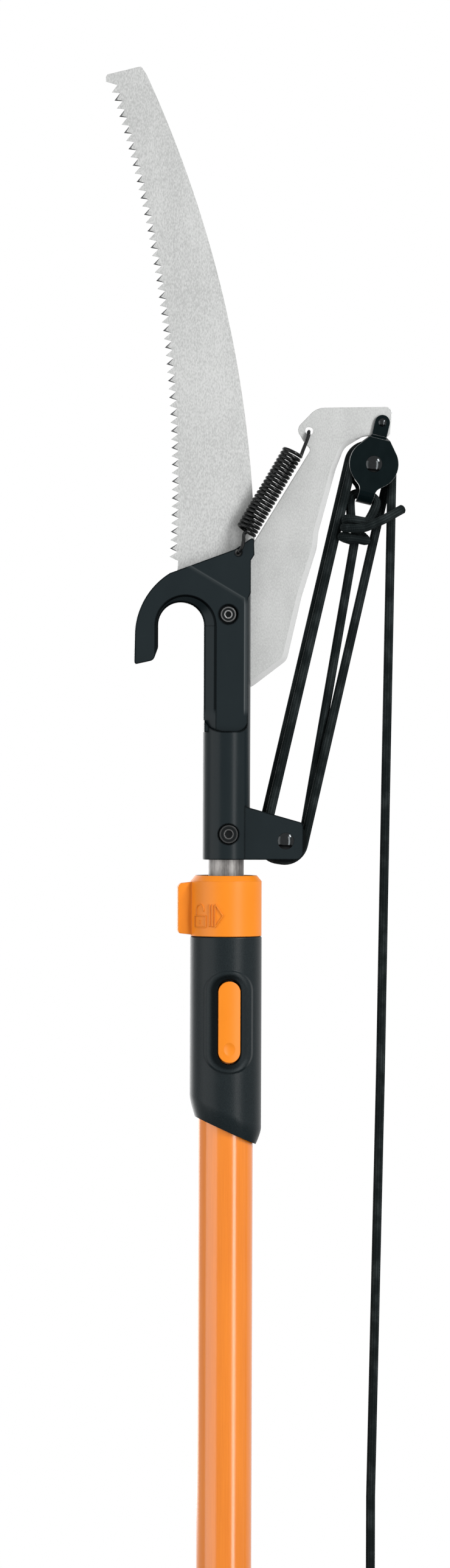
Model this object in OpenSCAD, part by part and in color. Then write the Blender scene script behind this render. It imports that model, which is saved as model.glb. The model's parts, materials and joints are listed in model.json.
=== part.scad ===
// Telescoping tree pruner: a sliding pole with a hooked pruning head, a pull saw and a rope tackle.
// Millimetres. +Z runs up the pole, +X is the lever's side, -Y faces the user. The origin is the pole's foot.

/* [Outer pole] */
// Outside diameter of the outer pole
pole_d = 39; // [37:0.5:40]
// Wall of the outer pole
pole_wall = 2; // [1.4:0.1:2.6]
// Length of the outer pole
pole_len = 1740; // [1500:10:2200]
// Length of the plug in the pole's foot
plug_len = 25; // [12:1:60]
// Wall of the plug
plug_wall = 3; // [2:0.5:5]

/* [Inner tube] */
// Outside diameter of the sliding tube
tube_d = 25; // [22:0.5:27]
// Wall of the sliding tube
tube_wall = 1.6; // [1.2:0.1:2.4]
// Length of the sliding tube
tube_len = 1600; // [1200:10:1800]
// Bare tube between the collar and the head
tube_show = 11.2; // [6:0.2:40]
// Width of the long slot that the lock pin runs in
slot_w = 7.6; // [7.2:0.1:9]
// Height of the slot's lower end above the tube's foot
slot_rise = 173.4; // [120:0.2:260]
// Length of the sliding bush at the tube's lower end
bush_len = 40; // [20:1:80]

/* [Grip and button] */
// Outside diameter of the grip
grip_d = 50.6; // [49:0.2:56]
// Height of the grip above the pole's top end
grip_above = 56.5; // [48:0.5:80]
// Reach of the grip below the pole's top end
grip_below = 92; // [80:1:140]
// Drop of the grip's slanted lower end across its width
grip_slant = 23; // [10:1:40]
// Width of the tapered lip at the grip's lower end
grip_lip = 14; // [6:1:24]
// Height of the rim round the button
rim_h = 1.4; // [0.8:0.1:2.4]
// Width of the rim round the button
rim_w = 34.8; // [30:0.2:42]
// Length of the rim round the button
rim_len = 70.5; // [66:0.5:84]
// Width of the button
button_w = 15.5; // [12:0.5:20]
// Length of the button
button_len = 57; // [52:0.5:64]
// Thickness of the button
button_t = 4.4; // [3.6:0.1:4.8]
// Distance of the button's pivot below the pole's top end
button_drop = 3; // [0:0.5:8]
// Diameter of the button's pivot pin
button_pin_d = 2.4; // [2:0.1:3]
// Distance of the lock pin above the button's pivot
lock_rise = 22; // [18:0.5:24]
// Diameter of the lock pin
lock_pin_d = 6; // [4:0.2:6.4]

/* [Collar] */
// Outside diameter of the collar
collar_d = 50.3; // [48:0.1:56]
// Height of the collar
collar_h = 42.6; // [34:0.2:60]
// Width of the bevel round the collar's top
collar_bevel = 4; // [2:0.2:6]
// Reach of the collar's fin from the pole's axis
fin_reach = 34.4; // [30:0.2:40]
// Thickness of the collar's fin
fin_t = 9; // [6:0.5:14]

/* [Head casting] */
// Outside diameter of the socket
socket_d = 33.6; // [31:0.2:38]
// Depth of the tube in the socket
socket_depth = 85; // [60:1:95]
// Height of the lever's pivot above the socket's lower end
pivot_h = 172.8; // [165:0.2:190]
// Distance of the casting's front face from the middle plane
plate_front = 9.5; // [8:0.1:12]
// Half of the slot that the lever turns in
slot_half = 1.8; // [1.7:0.05:2.4]
// Width of the hook's mouth
mouth_w = 32.7; // [26:0.5:36]
// Height of the mouth's crown above the pivot
mouth_top = 8.3; // [4:0.1:9]
// Width of the hook's arm
arm_w = 16.5; // [12:0.5:20]
// Reach of the hook's point below the pivot
hook_drop = 35.7; // [28:0.5:44]
// Radius of the hook's back
hook_r = 52; // [46:0.5:60]
// Depth of the bevel at the mouth's crown
mouth_bevel = 3; // [2:0.1:4]

/* [Saw] */
// Height of the saw's end above the pivot
saw_h = 386.6; // [360:1:420]
// Radius of the saw's back
saw_back_r = 822; // [760:1:900]
// Radius of the tooth line
saw_tooth_r = 904; // [860:1:960]
// Distance between two teeth
tooth_pitch = 5.92; // [5:0.02:7]
// Depth of a tooth
tooth_depth = 5.4; // [3:0.1:6]
// Thickness of the saw
saw_t = 1.4; // [1:0.1:2]
// Thickness of the clamp plate behind the saw
clamp_t = 4; // [3:0.5:6]

/* [Lever] */
// Thickness of the lever
lever_t = 3; // [2:0.1:3.2]
// Distance of the block's rivet to the right of the pivot
rivet_x = 110; // [104:0.5:118]
// Height of the block's rivet above the pivot
rivet_z = 137; // [130:0.5:142]
// Diameter of the pivot bolt
pivot_d = 8; // [6:0.5:9]
// Outside diameter of the lever's bush
bush_d = 12; // [11:0.5:14]

/* [Tackle] */
// Diameter of the rope
rope_d = 6.5; // [5:0.1:7]
// Radius of the rope's middle line on a sheave
wrap_r = 13.8; // [12.6:0.1:14.4]
// Radius of a sheave's rim
sheave_r = 15.4; // [15:0.1:17]
// Width of a sheave
sheave_w = 9; // [8.6:0.1:10]
// Diameter of both axles
axle_d = 6; // [5:0.1:8]
// Distance of the lower axle to the right of the pivot
lower_x = 41; // [38:0.5:46]
// Distance of the lower axle below the pivot
lower_drop = 159.5; // [150:0.5:164]
// Distance of the upper axle below the block's rivet
block_len = 30.9; // [30:0.1:34]
// Thickness of the block's strap
strap_t = 2; // [1.4:0.1:2.6]
// Thickness of the bracket's cheeks
cheek_t = 2.6; // [2:0.1:3.6]

/* [Spring] */
// Diameter of the spring's wire
wire_d = 2.2; // [1.4:0.1:2.3]
// Outside diameter of the coil
coil_d = 15.5; // [13:0.1:16]
// Number of curls
curls = 22; // [12:1:24]
// Distance between two curls
curl_pitch = 2.95; // [2.8:0.05:3.2]

/* [Clearances] */
// Radial clearance of a pin in its bore
run_fit = 0.05; // [0.02:0.01:0.1]
// Gap between faces that move past each other
face_gap = 0.3; // [0.2:0.05:0.5]

/* [Hidden] */
$fn = 64;
// Overlap of cutting tools past the faces that they cut
past = 1;

// Radii
pole_r = pole_d / 2;
pole_ri = pole_r - pole_wall;
tube_r = tube_d / 2;
grip_r = grip_d / 2;
rim_r = grip_r + rim_h;
collar_r = collar_d / 2;
socket_r = socket_d / 2;

// Heights along the pole
grip_top = pole_len + grip_above;
collar_z = grip_top + face_gap;
collar_top = collar_z + collar_h;
socket_z = collar_top + tube_show;
pivot_z = socket_z + pivot_h;
tube_top = socket_z + socket_depth;
tube_foot = tube_top - tube_len;
button_z = pole_len - button_drop;
lock_z = button_z + lock_rise;

// Layers across the middle plane, front to back
bush_half = slot_half - run_fit;
saw_front = slot_half;
saw_rear = saw_front + saw_t;
clamp_rear = saw_rear + clamp_t;
washer_t = 1.2;
nut_t = 6;

// Points of an arc, anticlockwise when a1 is over a0
function arc(c, r, a0, a1, n) =
  [for (i = [0:n]) let (a = a0 + (a1 - a0) * i / n) c + r * [cos(a), sin(a)]];
function unit(v) = v / norm(v);
// Points of one rounded corner at b, between a and c
function corner(a, b, c, r, n) =
  let (u = unit(a - b), w = unit(c - b), half = acos(max(-1, min(1, u * w))) / 2)
  r <= 0 || half > 89 ? [b] :
  let (t = min(r / tan(half), 0.48 * norm(a - b), 0.48 * norm(c - b)), rr = t * tan(half),
       m = b + unit(u + w) * rr / sin(half), p = b + u * t - m, q = b + w * t - m,
       a0 = atan2(p.y, p.x), turn = atan2(p.x * q.y - p.y * q.x, p * q))
  arc(m, rr, a0, a0 + turn, n);
// Outline whose corners are given as [x, z, radius]
function rounded(p, n = 6) =
  let (k = len(p), at = [for (q = p) [q.x, q.y]])
  [for (i = [0:k - 1]) each corner(at[(i + k - 1) % k], at[i], at[(i + 1) % k], p[i].z, n)];

// Stands a flat outline of X and Z up, from depth y0 to y1
module upright(y0, y1) {
  rotate([90, 0, 0]) translate([0, 0, -y1]) linear_extrude(y1 - y0) children();
}
// A round pin along Y, from depth y0 to y1
module pin_y(r, y0, y1, x = 0, z = 0) {
  translate([x, y1, z]) rotate([90, 0, 0]) cylinder(r = r, h = y1 - y0);
}
// A slot shape with round ends along Z, width w and length l
module stadium(w, l) {
  translate([-w / 2, -l / 2 + w / 2]) square([w, l - w]);
  for (s = [-1, 1]) translate([0, s * (l - w) / 2]) circle(d = w);
}
// A round tube between two radii
module ring(ri, ro, h) {
  difference() {
    cylinder(r = ro, h = h);
    translate([0, 0, -past]) cylinder(r = ri, h = h + 2 * past);
  }
}

// Sweep of a round section along a list of points
function tangents(p) =
  let (k = len(p) - 1)
  [for (i = [0:k]) unit(p[min(i + 1, k)] - p[max(i - 1, 0)])];
function square_to(n, t) = unit(n - (n * t) * t);
function normals(t) =
  let (k = len(t), s = abs(t[0].y) < 0.9 ? [0, 1, 0] : [1, 0, 0])
  [for (i = 0, n = square_to(s, t[0]); i < k; i = i + 1, n = i < k ? square_to(n, t[i]) : n) n];
module sweep(p, d, sides) {
  t = tangents(p);
  n = normals(t);
  k = len(p);
  points = [for (i = [0:k - 1], j = [0:sides - 1])
    p[i] + d / 2 * (cos(360 * j / sides) * n[i] + sin(360 * j / sides) * cross(t[i], n[i]))];
  walls = [for (i = [0:k - 2], j = [0:sides - 1])
    let (a = i * sides + j, b = i * sides + (j + 1) % sides, c = a + sides, e = b + sides)
    each [[a, c, b], [b, c, e]]];
  foot = [for (j = [1:sides - 2]) [0, j, j + 1]];
  head = [for (j = [1:sides - 2]) let (o = (k - 1) * sides) [o, o + j + 1, o + j]];
  polyhedron(points, concat(walls, foot, head));
}
// Least distance of a swept tube to itself, past the given number of neighbouring rings
function least_gap(p, d, skip) =
  min([for (i = [0:len(p) - 1 - skip], j = [i + skip:len(p) - 1]) norm(p[i] - p[j])]) - d;

// Pole

module outer_tube() {
  color("darkorange") ring(pole_ri, pole_r, pole_len);
}

module end_plug() {
  color("dimgray") difference() {
    cylinder(r = pole_ri - run_fit, h = plug_len);
    translate([0, 0, plug_wall]) cylinder(r = pole_ri - plug_wall, h = plug_len);
  }
}

// Slotted sleeve that the collar squeezes on the inner tube
collet_stub = 40;
collet_top = collar_top - 1;
clip_t = 1.5;
clip_z = collar_top - 6.5;
clip_grip = 1.2;
clip_lip = 1.4;
clip_room = 0.3;
counterbore = pole_r + clip_lip + clip_room;
pin_room = 1.3;
collet_slots = 4;
collet_slot_w = 1.6;
module clamp_collet() {
  stub_r = pole_ri - run_fit;
  color("gray") difference() {
    union() {
      translate([0, 0, pole_len - collet_stub]) cylinder(r = stub_r, h = collet_stub);
      translate([0, 0, pole_len]) cylinder(r = pole_r, h = collet_top - pole_len);
    }
    translate([0, 0, pole_len - collet_stub - past])
      cylinder(r = tube_r + run_fit, h = collet_top - pole_len + collet_stub + 2 * past);
    translate([0, 0, clip_z - run_fit]) ring(pole_r - clip_grip, pole_r + past, clip_t + 2 * run_fit);
    pin_y(lock_pin_d / 2 + pin_room, -pole_r - past, 0, 0, lock_z);
    for (i = [0:collet_slots - 1]) rotate([0, 0, 45 + i * 360 / collet_slots])
      translate([0, -collet_slot_w / 2, collar_z + 4])
        cube([pole_r + past, collet_slot_w, collet_top - collar_z]);
  }
}

module collar_clip() {
  clip_gap = 12;
  clip_r = pole_r + clip_lip;
  color("silver") translate([0, 0, clip_z]) difference() {
    ring(pole_r - clip_grip + run_fit, clip_r, clip_t);
    translate([0, -clip_gap / 2, -past]) cube([clip_r + past, clip_gap, clip_t + 2 * past]);
  }
}

// Grip with the rim and slot of the button, and a lower end cut on the slant
grip_tilt = atan(grip_slant / grip_d);
grip_taper = 4;
lip_over = 0.4;
lip_wide = 4;
module grip_sleeve() {
  low = pole_len - grip_below;
  mid = low + grip_slant / 2;
  lip_r = grip_r / cos(grip_tilt);
  lip_top = lip_r + grip_lip * tan(grip_tilt) + lip_over;
  lip_h = grip_lip + past;
  color([0.12, 0.13, 0.14]) difference() {
    union() {
      intersection() {
        translate([0, 0, low - past]) cylinder(r = grip_r, h = grip_top - low + past);
        translate([0, 0, mid]) rotate([0, grip_tilt, 0]) union() {
          intersection() {
            cylinder(r1 = lip_r - grip_taper, r2 = lip_top, h = lip_h);
            translate([-grip_taper - lip_wide, 0, 0]) cylinder(r = lip_r + lip_wide, h = lip_h);
          }
          translate([0, 0, grip_lip]) cylinder(r = 2 * grip_d, h = grip_top);
        }
      }
      intersection() {
        translate([0, 0, button_z - rim_len]) cylinder(r = rim_r, h = 2 * rim_len);
        translate([0, 0, button_z]) upright(-rim_r - past, 0) stadium(rim_w, rim_len);
      }
    }
    translate([0, 0, low - grip_slant])
      cylinder(r = pole_r + run_fit, h = grip_top - low + grip_slant + past);
    translate([0, 0, button_z]) upright(-rim_r - past, 0)
      stadium(button_w + 2 * face_gap, button_len + 2 * slot_end);
    button_bore(button_pin_d / 2);
    translate([-rim_w, -2 * rim_r, grip_top]) cube([2 * rim_w, 4 * rim_r, rim_len]);
  }
}
// Room at each end of the rocking button, and its pivot pin
slot_end = 1.2;
boss_wall = 1.3;
boss_sink = 0.3;
pin_bite = 2;
button_pin_y = -(rim_r - button_t + boss_sink);
button_pin_half = button_w / 2 + pin_bite;
module button_bore(r) {
  translate([-button_pin_half, button_pin_y, button_z]) rotate([0, 90, 0])
    cylinder(r = r, h = 2 * button_pin_half);
}

module button_pin() {
  color("silver") button_bore(button_pin_d / 2);
}

// The rocker: a curved plate with a dimple at its lower end and a hinge boss behind
dimple_r = 5.6;
dimple_depth = 1;
dimple_rise = 9.5;
coil_room = 0.6;
module lock_button() {
  outer_y = -rim_r;
  inner_y = outer_y + button_t;
  boss_r = button_pin_d / 2 + boss_wall;
  pocket_y = inner_y - button_pocket;
  dimple_z = button_z - button_len / 2 + dimple_rise;
  color("darkorange") difference() {
    union() {
      intersection() {
        translate([0, 0, button_z]) upright(outer_y, inner_y) stadium(button_w, button_len);
        translate([0, 0, button_z - button_len]) cylinder(r = rim_r, h = 2 * button_len, $fn = 128);
      }
      translate([-button_w / 2, button_pin_y, button_z]) rotate([0, 90, 0])
        cylinder(r = boss_r, h = button_w);
    }
    translate([0, outer_y - 2 * dimple_r + dimple_depth, dimple_z]) sphere(r = 2 * dimple_r, $fn = 48);
    button_bore(button_pin_d / 2 + run_fit);
    pin_y(button_coil_d / 2 + coil_room, pocket_y, inner_y + past, 0, button_z - button_coil_drop);
    pin_y(lock_pin_d / 2, pocket_y, inner_y + past, 0, lock_z);
  }
}

// The pin that keeps the inner tube from turning and stops it at both ends of its slot
lock_depth = 1.2;
module lock_pin() {
  color("silver") pin_y(lock_pin_d / 2, -rim_r + button_t - button_pocket, -tube_r + lock_depth, 0, lock_z);
}

// Small coil under the button
button_pocket = 2.2;
button_coil_d = 5;
button_wire_d = 0.7;
button_coil_drop = 11;
button_curls = 2;
function helix(r, pitch, turns, steps) =
  [for (i = [0:steps * turns]) let (a = 360 * i / steps) [r * cos(a), r * sin(a), pitch * i / steps]];
module button_spring() {
  y0 = -rim_r + button_t - button_pocket + button_wire_d / 2 + 0.1;
  y1 = -pole_r - button_wire_d / 2 - 0.2;
  pitch = (y1 - y0) / button_curls;
  color("silver") translate([0, y0, button_z - button_coil_drop]) rotate([-90, 0, 0])
    sweep(helix((button_coil_d - button_wire_d) / 2, pitch, button_curls, 8), button_wire_d, 6);
}

// Twist collar with a bevelled top, a counterbore for the clip and a fin on its left
collar_lip = max(collar_r - 0.85 * collar_bevel, counterbore + 0.5);
module lock_collar() {
  root = -pole_r - 1;
  fin = [[root, 0.4, 0], [-fin_reach + 1, 1.8, 1], [-fin_reach, 4, 1], [-fin_reach, collar_h - 8, 2],
         [-fin_reach + 1.5, collar_h - 5.6, 2], [root, collar_h - 4, 0]];
  color("orange") difference() {
    union() {
      translate([0, 0, collar_z]) cylinder(r = collar_r, h = collar_h - collar_bevel);
      translate([0, 0, collar_top - collar_bevel]) cylinder(r1 = collar_r, r2 = collar_lip, h = collar_bevel);
      translate([0, 0, collar_z]) upright(-fin_t / 2, fin_t / 2) polygon(rounded(fin));
    }
    translate([0, 0, collar_z - past]) cylinder(r = pole_r + run_fit, h = collar_h + 2 * past);
    translate([0, 0, clip_z - clip_room]) cylinder(r = counterbore, h = collar_h);
  }
}

// Inner tube with the slot of the lock pin, and the cross hole of the socket screw
bolt_d = 6;
bolt_rise = 18;
bolt_z = socket_z + bolt_rise;
slot_foot = tube_foot + slot_rise;
module inner_tube() {
  color("darkgray") difference() {
    translate([0, 0, tube_foot]) ring(tube_r - tube_wall, tube_r, tube_len);
    translate([0, 0, (lock_z + slot_foot) / 2]) upright(-tube_r - past, 0)
      stadium(slot_w, lock_z - slot_foot + slot_w);
    pin_y(bolt_d / 2 + run_fit, -tube_r - past, tube_r + past, 0, bolt_z);
  }
}

module guide_bush() {
  rim = 8;
  color("dimgray") difference() {
    union() {
      translate([0, 0, tube_foot - rim]) cylinder(r = pole_ri - run_fit, h = rim);
      translate([0, 0, tube_foot]) cylinder(r = tube_r - tube_wall - run_fit, h = bush_len - rim);
    }
    translate([0, 0, tube_foot - rim - past]) cylinder(r = tube_r - tube_wall - 3, h = bush_len + 2 * past);
  }
}

// Head, in a frame whose origin is the lever's pivot

module head_frame() {
  translate([0, 0, pivot_z]) children();
}

// Hook outline
mouth_r = mouth_w / 2;
mouth_x = -socket_r - mouth_r;
mouth_z = mouth_top - mouth_r;
arm_left = -socket_r - mouth_w - arm_w;
hook_x = arm_left + hook_r;
hook_z = -15.4;
hook_end = 122;
// Top edge of the casting: the middle of its slope and its apex
crown = [5, 46];
apex = [17.9, 55];
// Lower ends of the flat stem, of the open stem behind the lever and of the ear
flat_foot = -pivot_h + socket_depth + 5;
sweep_foot = -62;
ear_foot = 42;
stem_round = 4;
// Height at which the stem's front edge widens to the ear
stem_top = 15;

function sharp(p) = [for (q = p) [q.x, q.y, 0]];
module hook_outline() {
  polygon(rounded(concat(
    sharp(arc([hook_x, hook_z], hook_r, 180, hook_end, 16)),
    [[crown.x, crown.y, 12], [apex.x, apex.y, 1.5], [apex.x + 0.4, ear_foot, 1],
     [socket_r - 1, ear_foot - 4, 0], [socket_r - 1, stem_top, 3],
     [socket_r - stem_round, stem_top - 1.5 * stem_round, 0],
     [socket_r - stem_round, flat_foot, 0], [-socket_r, flat_foot, 0]],
    sharp(arc([mouth_x, mouth_z], mouth_r, 0, 180, 24)),
    [[arm_left + arm_w, -hook_drop + 12, 6], [arm_left + arm_w - 3.5, -hook_drop + 3, 4],
     [arm_left - 0.4, -hook_drop, 1.5]])));
}

// Bevel round the mouth: a leaning cone at the crown, a wide cut on the stem and a narrow one on the arm
bevel_change = 1.4;
bevel_slope = 57;
bevel_step = 0.05;
bevel_front = 5;
bevel_lean = atan(bevel_change / mouth_r);
bevel_foot_r = 13;
// One straight bevel, on the stem's side (s = 1) or the arm's (s = -1), up to the middle of the mouth's crown
module side_bevel(s, foot) {
  translate([mouth_x + s * mouth_r, -plate_front + mouth_bevel + s * bevel_change - bevel_step, foot])
    rotate([0, 0, s * bevel_slope + bevel_lean])
      translate([min(0, -s * mouth_w), -mouth_w, 0]) cube([mouth_w, mouth_w + 2 * past, mouth_z - foot]);
}
module mouth_bevels() {
  grow = tan(bevel_slope);
  stem = [[-socket_r - past, flat_wide, 0], [-socket_r - past, flat_foot, bevel_foot_r],
          [flat_half, flat_foot, 0], [flat_half, flat_wide, 0]];
  translate([mouth_x, -plate_front, mouth_z]) rotate([0, 0, bevel_lean])
    translate([0, -bevel_front, 0]) rotate([-90, 0, 0])
    cylinder(r1 = mouth_r + (mouth_bevel + bevel_front) * grow, r2 = mouth_r - past * grow,
             h = mouth_bevel + bevel_front + past);
  side_bevel(-1, -hook_drop - past);
  intersection() {
    side_bevel(1, flat_foot);
    upright(-2 * socket_r, 0) polygon(rounded(stem));
  }
}

// Spring holes, in the casting's ear and in the lever
ear_hole = [7, 43.6];
lever_hole = [58, 130.6];
spring_hole_d = 5;
// Screws of the saw clamp
clamp_screws = [[-22, 22], [-8, 32]];
clamp_boss_r = 5.5;
clamp_screw_d = 5;
clamp_floor = 3;
// Sockets of the two visible screw heads
pivot_head_r = 5.6;
pivot_sink = 4.2;
bolt_head_r = 6.6;
bolt_sink = 3.4;
crease = [-19.5, 29.7];
crease_turn = 30.3;
crease_tilt = 5;

// Bracket of the lower sheaves, in X and Z from its axle
bracket_top = 12.9;
bracket_end = 12.4;
bracket = [[0, -pivot_h, 0], [0, 28 - lower_drop, 0], [socket_r - 1, 23.2 - lower_drop, 0],
           [lower_x + bracket_end - 0.9, bracket_top - lower_drop, 2],
           [lower_x + bracket_end, bracket_top - 2.9 - lower_drop, 3], [lower_x + bracket_end, -pivot_h, 5]];
// The flat front is as wide as the round stem at that depth, with rounded lower corners
flat_half = sqrt(socket_r * socket_r - plate_front * plate_front) + 0.2;
flat_left_r = 11;
flat_right_r = 8;
flat_wide = 80;
flat_step = -hook_drop - 10;
flat_front = [[-flat_wide, flat_wide, 0], [-flat_wide, flat_step, 0], [-flat_half, flat_step, 0],
              [-flat_half, flat_foot, flat_left_r], [flat_half, flat_foot, flat_right_r],
              [flat_half, flat_wide, 0]];
bore_room = 0.2;
sink_room = 0.6;
pivot_room = 1.3;
module head_casting() {
  cheek_out = block_in + cheek_t;
  bolt_at = bolt_rise - pivot_h;
  color([0.15, 0.17, 0.18]) head_frame() difference() {
    union() {
      // socket and round stem, open behind the front half above the socket
      intersection() {
        translate([0, 0, -pivot_h]) cylinder(r = socket_r, h = pivot_h + ear_foot - 8);
        union() {
          translate([-socket_r, -socket_r, -pivot_h])
            cube([2 * socket_r, 2 * socket_r, pivot_h + sweep_foot]);
          translate([-socket_r, -socket_r, sweep_foot])
            cube([2 * socket_r, socket_r - slot_half, 2 * pivot_h]);
        }
      }
      upright(-plate_front, -slot_half) hook_outline();
      for (p = clamp_screws) pin_y(clamp_boss_r, -slot_half - past, saw_front, p.x, p.y);
      upright(-cheek_out, -block_in) polygon(rounded(bracket));
      upright(block_in, cheek_out) polygon(rounded(bracket));
    }
    // bore of the tube
    translate([0, 0, -pivot_h - past]) cylinder(r = tube_r + run_fit, h = socket_depth + past + bore_room);
    // flat front of the stem, with rounded lower corners
    upright(-2 * socket_r, -plate_front) polygon(rounded(flat_front));
    mouth_bevels();
    // slight fall of the face towards the ear
    translate([crease.x, -plate_front, crease.y]) rotate([0, crease_turn, 0]) rotate([crease_tilt, 0, 0])
      translate([-120, -40, 0]) cube([240, 40, 120]);
    // screw holes
    pin_y(pivot_d / 2 + run_fit, -plate_front - past, past);
    pin_y(pivot_head_r + pivot_room, -plate_front - past, -plate_front + pivot_sink);
    pin_y(spring_hole_d / 2, -plate_front - past, past, ear_hole.x, ear_hole.y);
    for (p = clamp_screws) pin_y(clamp_screw_d / 2, -plate_front + clamp_floor, saw_front + past, p.x, p.y);
    pin_y(bolt_d / 2 + run_fit, -socket_r - past, socket_r + past, 0, bolt_at);
    pin_y(bolt_head_r + sink_room, -socket_r - past, -socket_r + bolt_sink, 0, bolt_at);
    translate([0, socket_r + past, bolt_at]) rotate([90, 0, 0])
      cylinder(d = nut_af / cos(30) + bore_room, h = bolt_sink + past, $fn = 6);
    pin_y(axle_d / 2, -2 * socket_r, 2 * socket_r, axle_low.x, axle_low.y);
  }
}

// A socket head screw along Y: head towards -Y, with a hexagon recess
module screw_y(head_r, head_h, d, reach, hex) {
  difference() {
    union() {
      pin_y(head_r, 0, head_h);
      pin_y(d / 2, head_h - past, reach);
    }
    translate([0, head_h * 0.7, 0]) rotate([90, 0, 0]) cylinder(d = hex / cos(30), h = head_h, $fn = 6);
  }
}
nut_af = 10;
head_sink = 0.2;
bolt_hex = 5;
pivot_hex = 4;
module socket_screw() {
  color("dimgray") translate([0, -socket_r + head_sink, bolt_z])
    screw_y(bolt_head_r, bolt_sink - head_sink, bolt_d, 2 * socket_r - 2 * head_sink, bolt_hex);
}
module socket_nut() {
  color("silver") translate([0, socket_r, bolt_z]) difference() {
    rotate([90, 0, 0]) cylinder(d = nut_af / cos(30), h = bolt_sink, $fn = 6);
    pin_y(bolt_d / 2, -2 * bolt_sink, past);
  }
}

module pivot_bolt() {
  head_y = -plate_front + head_sink;
  tip_y = clamp_rear + washer_t + nut_t + 2;
  color("silver") head_frame() translate([0, head_y, 0])
    screw_y(pivot_head_r, pivot_sink - head_sink, pivot_d, tip_y - head_y, pivot_hex);
}
module pivot_washer() {
  color("silver") head_frame() difference() {
    pin_y(pivot_d, clamp_rear, clamp_rear + washer_t);
    pin_y(pivot_d / 2 + run_fit, clamp_rear - past, clamp_rear + washer_t + past);
  }
}
module pivot_nut() {
  color("silver") head_frame() translate([0, clamp_rear + washer_t + nut_t, 0]) difference() {
    rotate([90, 0, 0]) cylinder(d = 1.6 * pivot_d / cos(30), h = nut_t, $fn = 6);
    pin_y(pivot_d / 2, -nut_t - past, past);
  }
}

// Saw: teeth on one arc, the back on another, a rounded beak at the end and a tang round the pivot
saw_tooth_x = -39.3;
saw_tooth_z = 91.2;
saw_back_x = 19.9;
saw_back_z = 31.1;
saw_beak = 11;
tooth_lean = 0.9;
tang_r = 13;
tooth_c = [saw_tooth_x - saw_tooth_r, saw_tooth_z];
back_c = [saw_back_x - saw_back_r, saw_back_z];
tooth_step = tooth_pitch * 180 / (PI * saw_tooth_r);
first_tooth = asin((saw_h - saw_beak - 7 - saw_tooth_z) / saw_tooth_r);
last_tooth = asin((30 - saw_tooth_z) / saw_tooth_r);
teeth = floor((first_tooth - last_tooth) / tooth_step);
function on_teeth(a, deep) = tooth_c + (saw_tooth_r + deep) * [cos(a), sin(a)];
function back_at(z) = [back_c.x + sqrt(pow(saw_back_r, 2) - pow(z - back_c.y, 2)), z];
lean_step = tooth_lean * 180 / (PI * saw_tooth_r);
tooth_points = [for (i = [0:teeth - 1]) let (a = first_tooth - i * tooth_step)
  each [on_teeth(a - lean_step, 0), on_teeth(a - tooth_step / 2, tooth_depth)]];
beak_x = on_teeth(first_tooth, 0).x - 4;
back_top = back_at(saw_h - 6);
back_steps = 14;
back_foot = 52;
beak_foot = 12;
tang = [[-36, 18], [-16, 8.5], [-13.5, -8], [-6, -tang_r], [6, -tang_r], [tang_r, -4], [tang_r + 2, 30]];
function reversed(p) = [for (i = [len(p) - 1:-1:0]) p[i]];
module saw_outline() {
  beak = [[beak_x, saw_h - saw_beak, 1], [beak_x, saw_h - 6.5, 2], [back_top.x - 4, saw_h, 2],
          [back_top.x, back_top.y, 1], [back_at(saw_h - beak_foot).x, saw_h - beak_foot, 0]];
  polygon(concat(
    rounded(beak),
    [for (i = [1:back_steps]) back_at(saw_h - beak_foot - (saw_h - beak_foot - back_foot) * i / back_steps)],
    reversed(tang),
    reversed(tooth_points),
    [on_teeth(first_tooth + tooth_step / 2, tooth_depth)]));
}
module saw_blade() {
  color("gainsboro") head_frame() difference() {
    upright(saw_front, saw_rear) saw_outline();
    pin_y(pivot_d / 2 + run_fit, saw_front - past, saw_rear + past);
    for (p = clamp_screws) pin_y(clamp_screw_d / 2 + run_fit, saw_front - past, saw_rear + past, p.x, p.y);
  }
}
module saw_clamp() {
  plate = [[-30, 26, 6], [-26, 13, 6], [-9, -12, 8], [11, -11, 10], [11, 8, 8], [0, 41, 7], [-12, 42, 7]];
  color("dimgray") head_frame() difference() {
    upright(saw_rear, clamp_rear) polygon(rounded(plate));
    pin_y(pivot_d / 2 + run_fit, saw_rear - past, clamp_rear + past);
    for (p = clamp_screws) pin_y(clamp_screw_d / 2 + run_fit, saw_rear - past, clamp_rear + past, p.x, p.y);
  }
}
module saw_screws() {
  head_h = 3;
  head_r = 4.5;
  hex = 3;
  reach = clamp_rear + plate_front - clamp_floor - 0.5 + head_h;
  color("silver") head_frame() for (p = clamp_screws)
    translate([p.x, clamp_rear + head_h, p.y]) rotate([0, 0, 180])
      screw_y(head_r, head_h, clamp_screw_d, reach, hex);
}

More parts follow.
